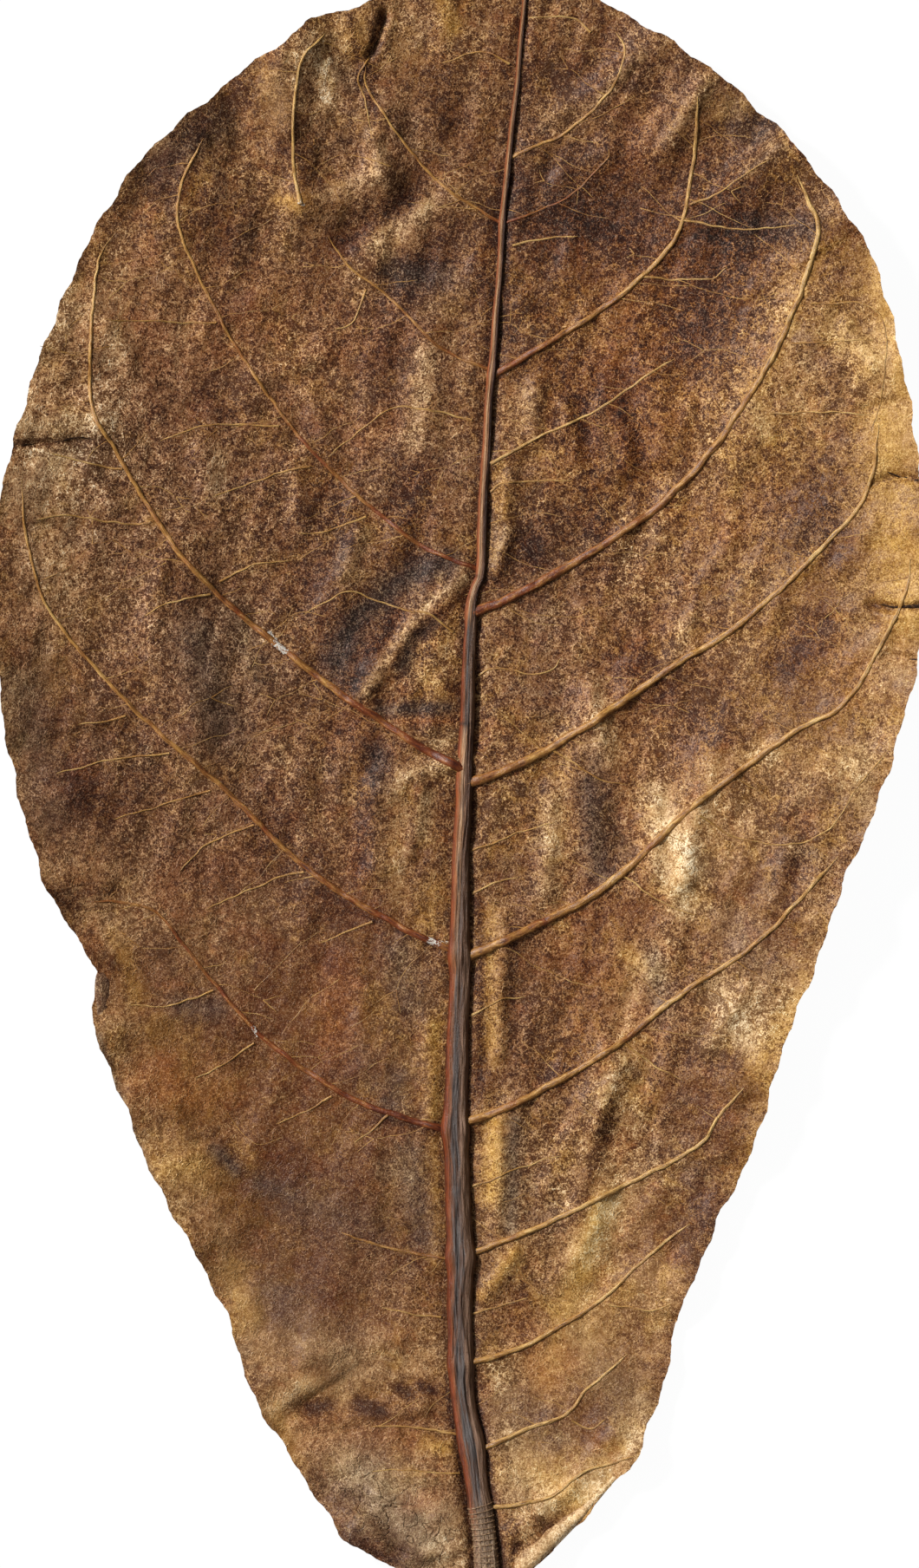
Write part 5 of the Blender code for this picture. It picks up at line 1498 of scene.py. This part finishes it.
def cord_tree() -> LineTree:
    """Build the tree that turns lines to tapering cords, with their radius as an attribute."""
    cords = LineTree("cord_along_lines", {
        "Sides": "NodeSocketInt", "Flatness": "NodeSocketFloat", "Finish": "NodeSocketMaterial"})
    turn = add_node(cords.tree, "GeometryNodeSplineParameter").outputs["Factor"]
    ring = cords.keep(cords.circle(cords.given["Sides"], 1.0), "around", turn)
    size = add_node(cords.tree, "ShaderNodeCombineXYZ",
                    {"X": 1.0, "Y": cords.given["Flatness"], "Z": 1.0}).outputs[0]
    ring = add_node(cords.tree, "GeometryNodeTransform", {"Geometry": ring, "Scale": size}).outputs[0]
    cords.close(add_node(cords.tree, "GeometryNodeCurveToMesh",
                         {"Curve": cords.curve, "Profile Curve": ring, "Scale": cords.attribute("radius"),
                          "Fill Caps": True}).outputs[0])
    return cords


@dataclass(frozen=True)
class VeinLook:
    """How one vein looks: widths at root and end, how golden they are, how far it stands out."""

    root_width: float
    end_width: float
    root_gold: float
    end_gold: float
    rise: float


@dataclass
class Veins:
    """A set of raised veins that lie on the blade."""

    form: BladeForm
    tree: LineTree
    name: str
    paths: Sequence[Path]
    looks: Sequence[VeinLook]
    flatness: float = 0.8
    sides: int = 12
    step: float = 0.6
    sway: float = 0.22
    sway_length: float = 3.4
    swell: float = 0.14
    swell_length: float = 2.2
    root_flare: tuple[float, float] = (0.25, 1.5)
    tip: tuple[float, float] = (0.3, 0.06)
    run_apart: float = 50.0
    salt_reach: float = 1.5

    def line(self, path: Path, number: int) -> np.ndarray:
        """Return a vein's line in the plan, with its small irregular bends."""
        line = smooth_line(path, self.step)
        run = along(line)
        where = np.column_stack([run / self.sway_length, np.full(len(run), 7.3 * number)])
        push = hills(where, 1.0, 2, 0.5)
        return line + left_normals(line) * (self.sway * push * ease(run, 0.0, 3.0))[:, None]

    def build(self, material: bpy.types.Material) -> Piece:
        """Build the veins.

        Args:
            material: Finish of the veins.

        Returns:
            The piece.
        """
        lines, radius, gold, sunk, runs = [], [], [], [], []
        flare, flare_run = self.root_flare
        tip, tip_share = self.tip
        for number, (path, look) in enumerate(zip(self.paths, self.looks)):
            line = self.line(path, number)
            run = along(line)
            share = run / run[-1]
            half = taper((look.root_width, look.end_width), share) / 2
            where = np.column_stack([run / self.swell_length, np.full(len(run), 3.1 * number)])
            half *= 1 + self.swell * hills(where, 1.0, 3, 8.0) + flare * np.exp(-run / flare_run)
            lines.append(line)
            radius.append(half * (tip + (1 - tip) * ease(1 - share, 0.0, tip_share)))
            gold.append(taper((look.root_gold, look.end_gold), share))
            sunk.append(half * self.flatness * (1 - look.rise))
            runs.append(run + self.run_apart * number)
        spots = np.vstack(lines)
        half = np.concatenate(radius)
        z = np.maximum(self.form.top(spots) - np.concatenate(sunk), half * self.flatness)
        ends = np.cumsum([len(line) for line in lines])[:-1]
        salt = [(*places, self.salt_reach * half_width, amount)
                for *places, half_width, amount in STAINS_AND_PAINTED_LIGHT[Tint.SALT]]
        values = {"radius": half * MM, "out": np.concatenate(gold), "run": np.concatenate(runs),
                  Tint.SALT.value: strongest(salt, spots)}
        inputs = {"Sides": self.sides, "Flatness": self.flatness, "Finish": material}
        return self.tree.grow(self.name, np.split(np.column_stack([spots, z]), ends), values, inputs)


@dataclass
class CrossVeins:
    """The short veins that leave the side veins on both sides and end forked in the net."""

    form: BladeForm
    first: tuple[float, float] = (3.0, 7.0)
    spacing: tuple[float, float] = (3.4, 7.5)
    length: tuple[float, float] = (4.0, 12.0)
    slope: tuple[float, float] = (-2.0, 34.0)
    inward_share: float = 0.45
    bend: float = 16.0
    steps: int = 4
    fork: float = 0.4
    second_fork: float = 0.2
    fork_turn: tuple[float, float] = (18.0, 45.0)
    fork_length: float = 0.4
    edge_clear: float = 2.2
    seed: int = 11

    def paths(self) -> list[Path]:
        """Draw the veins' paths, the same ones each time."""
        draw = np.random.default_rng(self.seed)
        rim = np.vstack([self.form.margin(LEFT_MARGIN, 1.0), self.form.margin(RIGHT_MARGIN, 1.0)])
        found: list[Path] = []
        for path in SIDE_VEINS:
            line = smooth_line(path, 1.0)
            outward = 1.0 if line[-1, 0] > line[0, 0] else -1.0
            run = along(line)
            at = draw.uniform(*self.first)
            while at < run[-1] - 1:
                root = np.array([np.interp(at, run, line[:, k]) for k in (0, 1)])
                slope = math.radians(draw.uniform(*self.slope))
                way = math.atan2(-math.sin(slope), outward * math.cos(slope))
                if draw.random() < self.inward_share:
                    way += math.pi
                length = draw.uniform(*self.length)
                self.grow(found, draw, rim, root, way, length, self.fork)
                at += draw.uniform(*self.spacing)
        return found

    def grow(self, found: list[Path], draw: np.random.Generator, rim: np.ndarray, root: np.ndarray,
             way: float, length: float, fork: float) -> None:
        """Add one vein, and perhaps a shorter fork at its end.

        Args:
            found: The paths so far, which this adds to.
            draw: Source of the random draws.
            rim: Points of the margin, which the vein keeps clear of.
            root: Where it starts.
            way: Its direction, in radians.
            length: Its length.
            fork: How likely it forks.
        """
        spots = [root]
        for _ in range(self.steps):
            way += math.radians(draw.uniform(-self.bend, self.bend))
            spots.append(spots[-1] + np.array([math.cos(way), math.sin(way)]) * length / self.steps)
        if min(np.linalg.norm(rim - spot, axis=1).min() for spot in spots[1:]) < self.edge_clear:
            return
        found.append(tuple((float(x), float(y)) for x, y in spots))
        if draw.random() < fork:
            for turn in (draw.uniform(*self.fork_turn), -draw.uniform(*self.fork_turn)):
                self.grow(found, draw, rim, spots[-1], way + math.radians(turn),
                          self.fork_length * length, self.second_fork)


@dataclass
class RolledMargin:
    """A stretch of margin that dried rolled over, a tapering half tube along the edge."""

    form: BladeForm
    name: str
    outer: Path
    inner: Path
    rise: float
    light: float
    pale: float
    step: float = 0.7
    over: int = 14
    lean: float = 0.62
    full_width: float = 3.0
    least_and_most: tuple[float, float] = (0.2, 1.2)
    sunk_share: float = 0.7
    floor_rows: tuple[float, float, float] = (0.8, 0.5, 0.2)
    floor_lift: float = 0.2
    calm: float = 0.8
    shadow: tuple[float, float] = (1.2, 0.8)

    def build(self, material: bpy.types.Material) -> Piece:
        """Build the roll.

        Args:
            material: Finish of the roll.

        Returns:
            The piece.
        """
        outer = smooth_line(self.outer, self.step)
        count = len(outer)
        inner = resample(smooth_line(self.inner, self.step), count)
        fade = np.clip(np.sin(math.pi * np.linspace(0, 1, count)), 0.0, 1.0) ** 0.5
        wide = np.clip(np.linalg.norm(outer - inner, axis=1) / self.full_width, *self.least_and_most)
        rows = []
        for t in np.linspace(0.0, 1.0, self.over):
            lean = self.lean * t + (1 - self.lean) * t**3
            flat = outer * (1 - lean) + inner * lean
            lift = self.rise * fade * math.sin(math.pi * t) ** 0.7 * wide
            z = self.form.lie(flat) + self.form.thickness * self.sunk_share + lift
            rows.append(np.column_stack([flat, z]))
        for t in self.floor_rows:
            flat = outer * (1 - t) + inner * t
            rows.append(np.column_stack([flat, self.form.lie(flat) + self.floor_lift]))
        verts = np.stack(rows, axis=1).reshape(-1, 3)
        faces = [(face[0],) + face[:0:-1] for face in tube_faces(count, len(rows))]
        along_it, across_it = outer[-1] - outer[0], inner[count // 2] - outer[count // 2]
        if along_it[0] * across_it[1] - along_it[1] * across_it[0] < 0:
            faces = [face[::-1] for face in faces]
        across = np.tile(np.append(np.linspace(0, 1, self.over), np.ones(len(self.floor_rows))), count)
        most, start = self.shadow
        attributes = {name: np.zeros(len(verts)) for name in [tint.value for tint in Tint] + ["under"]}
        # Painted on the roll: its paleness as a painted sheen fading inward, slate grey as painted shade
        # where the sheen is less, a painted shadow towards the line where it meets the blade, and its
        # lightness as painted light
        attributes |= {
            Tint.PAINTED_SHEEN.value: self.pale - 0.4 * self.pale * across**2,
            Tint.SLATE_AND_SHADE.value: np.full(len(verts), 0.6 - self.pale),
            Tint.CALM.value: np.full(len(verts), self.calm),
            Tint.DARK.value: most * np.clip(across - start, 0.0, None) / (1 - start),
            "light": np.full(len(verts), self.light),
        }
        piece = new_piece(self.name, verts, faces, attributes, material)
        settle(piece)
        return piece


@dataclass
class StalkRings:
    """The fine raised rings round the end of the stalk, where it broke from its twig."""

    form: BladeForm
    first_y: float = -110.5
    last_y: float = -132.4
    count: int = 25
    thickness: float = 0.12
    sides: tuple[int, int] = (40, 6)
    wider: float = 1.01
    spread: tuple[float, float] = (1.05, 1.12)
    lean: float = 0.16
    tip_back: float = 0.25
    step: float = 0.5
    seed: int = 5

    def tree(self) -> LineTree:
        """Build the tree that repeats a ring along a line."""
        rings = LineTree("rings_along_line", {
            "Count": "NodeSocketInt", "Thickness": "NodeSocketFloat", "Least Spread": "NodeSocketFloat",
            "Most Spread": "NodeSocketFloat", "Lean": "NodeSocketFloat", "Seed": "NodeSocketInt",
            "Finish": "NodeSocketMaterial"})
        tree, given = rings.tree, rings.given
        points = add_node(tree, "GeometryNodeCurveToPoints",
                          {"Curve": rings.curve, "Count": given["Count"]}, mode="COUNT").outputs
        spread_by = rings.between(given["Least Spread"], given["Most Spread"])
        size = add_node(tree, "ShaderNodeCombineXYZ", {
            "X": rings.times(rings.attribute("wide"), self.wider),
            "Y": rings.times(rings.attribute("high"), spread_by), "Z": 1.0}).outputs[0]
        tilt = rings.between(rings.times(given["Lean"], -1.0), given["Lean"])
        tilt = add_node(tree, "ShaderNodeCombineXYZ", {"X": self.tip_back, "Y": tilt}).outputs[0]
        turn = add_node(tree, "FunctionNodeRotateRotation",
                        {"Rotation": points["Rotation"], "Rotate By": tilt},
                        rotation_space="LOCAL").outputs[0]
        put = add_node(tree, "GeometryNodeInstanceOnPoints",
                       {"Points": points["Points"], "Instance": rings.circle(self.sides[0], 1.0),
                        "Rotation": turn, "Scale": size}).outputs[0]
        put = add_node(tree, "GeometryNodeRealizeInstances", {"Geometry": put}).outputs[0]
        bead = rings.circle(self.sides[1], given["Thickness"])
        beads = add_node(tree, "GeometryNodeCurveToMesh", {"Curve": put, "Profile Curve": bead}).outputs[0]
        rings.close(rings.keep(beads, "ringed", 1.0))
        return rings

    def build(self, midrib: Midrib, material: bpy.types.Material) -> Piece:
        """Build the rings.

        Args:
            midrib: The midrib that they go round.
            material: Their finish.

        Returns:
            The piece as a plain mesh.
        """
        line = rib_line(self.step)
        line = line[(line[:, 1] < self.first_y) & (line[:, 1] > self.last_y)]
        half = rib_width(line[:, 1]) / 2 * midrib.girth(line[:, 1])
        z = self.form.lie(line) + self.form.thickness
        values = {"wide": half * MM, "high": half * 2 * at_stations(midrib.rise, line[:, 1]) * MM}
        inputs = {"Count": self.count, "Thickness": self.thickness * MM, "Least Spread": self.spread[0],
                  "Most Spread": self.spread[1], "Lean": self.lean, "Seed": self.seed, "Finish": material}
        return self.tree().grow("stalk_rings", [np.column_stack([line, z])], values, inputs)


@dataclass
class Stage:
    """The pale floor, the studio light and the camera straight above the leaf."""

    floor_size: float = 3.0
    lens: float = 250.0
    sensor: float = 36.0
    frame_height: float = 0.2511
    centre_y: float = 0.0051
    focus_z: float = 0.005
    key_from: tuple[float, float, float] = (-0.68, 0.46, 0.66)
    key_distance: float = 1.6
    key_size: float = 0.2
    key_power: float = 34.0
    sky: float = 0.13
    fill_from: tuple[float, float, float] = (-0.75, 0.1, 0.65)
    fill_distance: float = 2.0
    fill_size: float = 2.4
    fill_power: float = 17.0
    paper: PalePaper = field(default_factory=PalePaper)

    def build(self) -> None:
        """Make the floor, the lights and the camera."""
        half = self.floor_size / 2
        corners = np.array([(-half, -half, 0), (half, -half, 0), (half, half, 0), (-half, half, 0)]) / MM
        floor = new_piece("floor", corners, [(0, 1, 2, 3)], {}, self.paper.material())
        world = bpy.data.worlds.new("studio")
        world.use_nodes = True
        sky = world.node_tree.nodes["Background"]
        sky.inputs["Color"].default_value = (1.0, 1.0, 1.0, 1.0)
        sky.inputs["Strength"].default_value = self.sky
        bpy.context.scene.world = world
        self.lamp("window", self.key_from, self.key_distance, self.key_size, self.key_power)
        self.lamp("soft_fill", self.fill_from, self.fill_distance, self.fill_size, self.fill_power)
        data = bpy.data.cameras.new("camera")
        data.lens = self.lens
        data.sensor_width = self.sensor
        camera = bpy.data.objects.new("camera", data)
        distance = self.lens / self.sensor * self.frame_height
        camera.location = (0.0, self.centre_y, self.focus_z + distance)
        bpy.context.scene.collection.objects.link(camera)
        bpy.context.scene.camera = camera
        bpy.context.scene.view_settings.view_transform = "Standard"

    def lamp(self, name: str, way_from: tuple[float, float, float], distance: float, size: float,
             power: float) -> None:
        """Hang a round lamp that shines on the leaf.

        Args:
            name: Its name.
            way_from: Direction from the leaf to it.
            distance: How far off it hangs, in metres.
            size: Its diameter, in metres.
            power: Its power, in watts.
        """
        data = bpy.data.lights.new(name, "AREA")
        data.shape = "DISK"
        data.size = size
        data.energy = power
        lamp = bpy.data.objects.new(name, data)
        way = Vector(way_from).normalized()
        lamp.location = way * distance
        lamp.rotation_euler = way.to_track_quat("Z", "Y").to_euler()
        bpy.context.scene.collection.objects.link(lamp)


def main() -> None:
    """Build the leaf's pieces in order."""
    logging.basicConfig(level=logging.INFO, format="%(message)s")
    form = BladeForm()
    blade_finish = DryBlade().material()
    vein_finish = DryVein().material()
    rib_finish = DryRib().material()
    blade = Blade(form)
    for half in Half:
        blade.build(half, blade_finish)
    midrib = Midrib(form)
    midrib.build(rib_finish)
    cords = cord_tree()
    side_looks = [VeinLook(*look) for look in SIDE_VEIN_LOOKS]
    Veins(form, cords, "side_veins", SIDE_VEINS, side_looks).build(vein_finish)
    thin_look = VeinLook(0.36, 0.22, 0.7, 0.85, 0.8)
    Veins(form, cords, "thin_veins", THIN_VEINS, [thin_look] * len(THIN_VEINS), sides=8,
          sway=0.35).build(vein_finish)
    # Dark cords laid in the margin's creases as painted shade
    crease_shade_looks = [VeinLook(outer, inner, 0.0, 0.0, 0.3) for _, outer, inner in CREASE_SHADE_LINES]
    Veins(form, cords, "crease_shade_cords", [path for path, _, _ in CREASE_SHADE_LINES], crease_shade_looks, flatness=0.4,
          sides=8, step=0.4, sway=0.3, swell=0.35).build(CreaseShade().material())
    StalkRings(form).build(midrib, rib_finish)
    for name, (outer, inner, *look) in ROLLS.items():
        RolledMargin(form, name, outer, inner, *look).build(blade_finish)
    hair_look = VeinLook(0.24, 0.14, 0.6, 0.8, 0.35)
    hairs = HAIR_VEINS + tuple(CrossVeins(form).paths())
    Veins(form, cords, "hair_veins", hairs, [hair_look] * len(hairs), sides=6,
          sway=0.3).build(vein_finish)
    Stage().build()


if __name__ == "__main__":
    main()
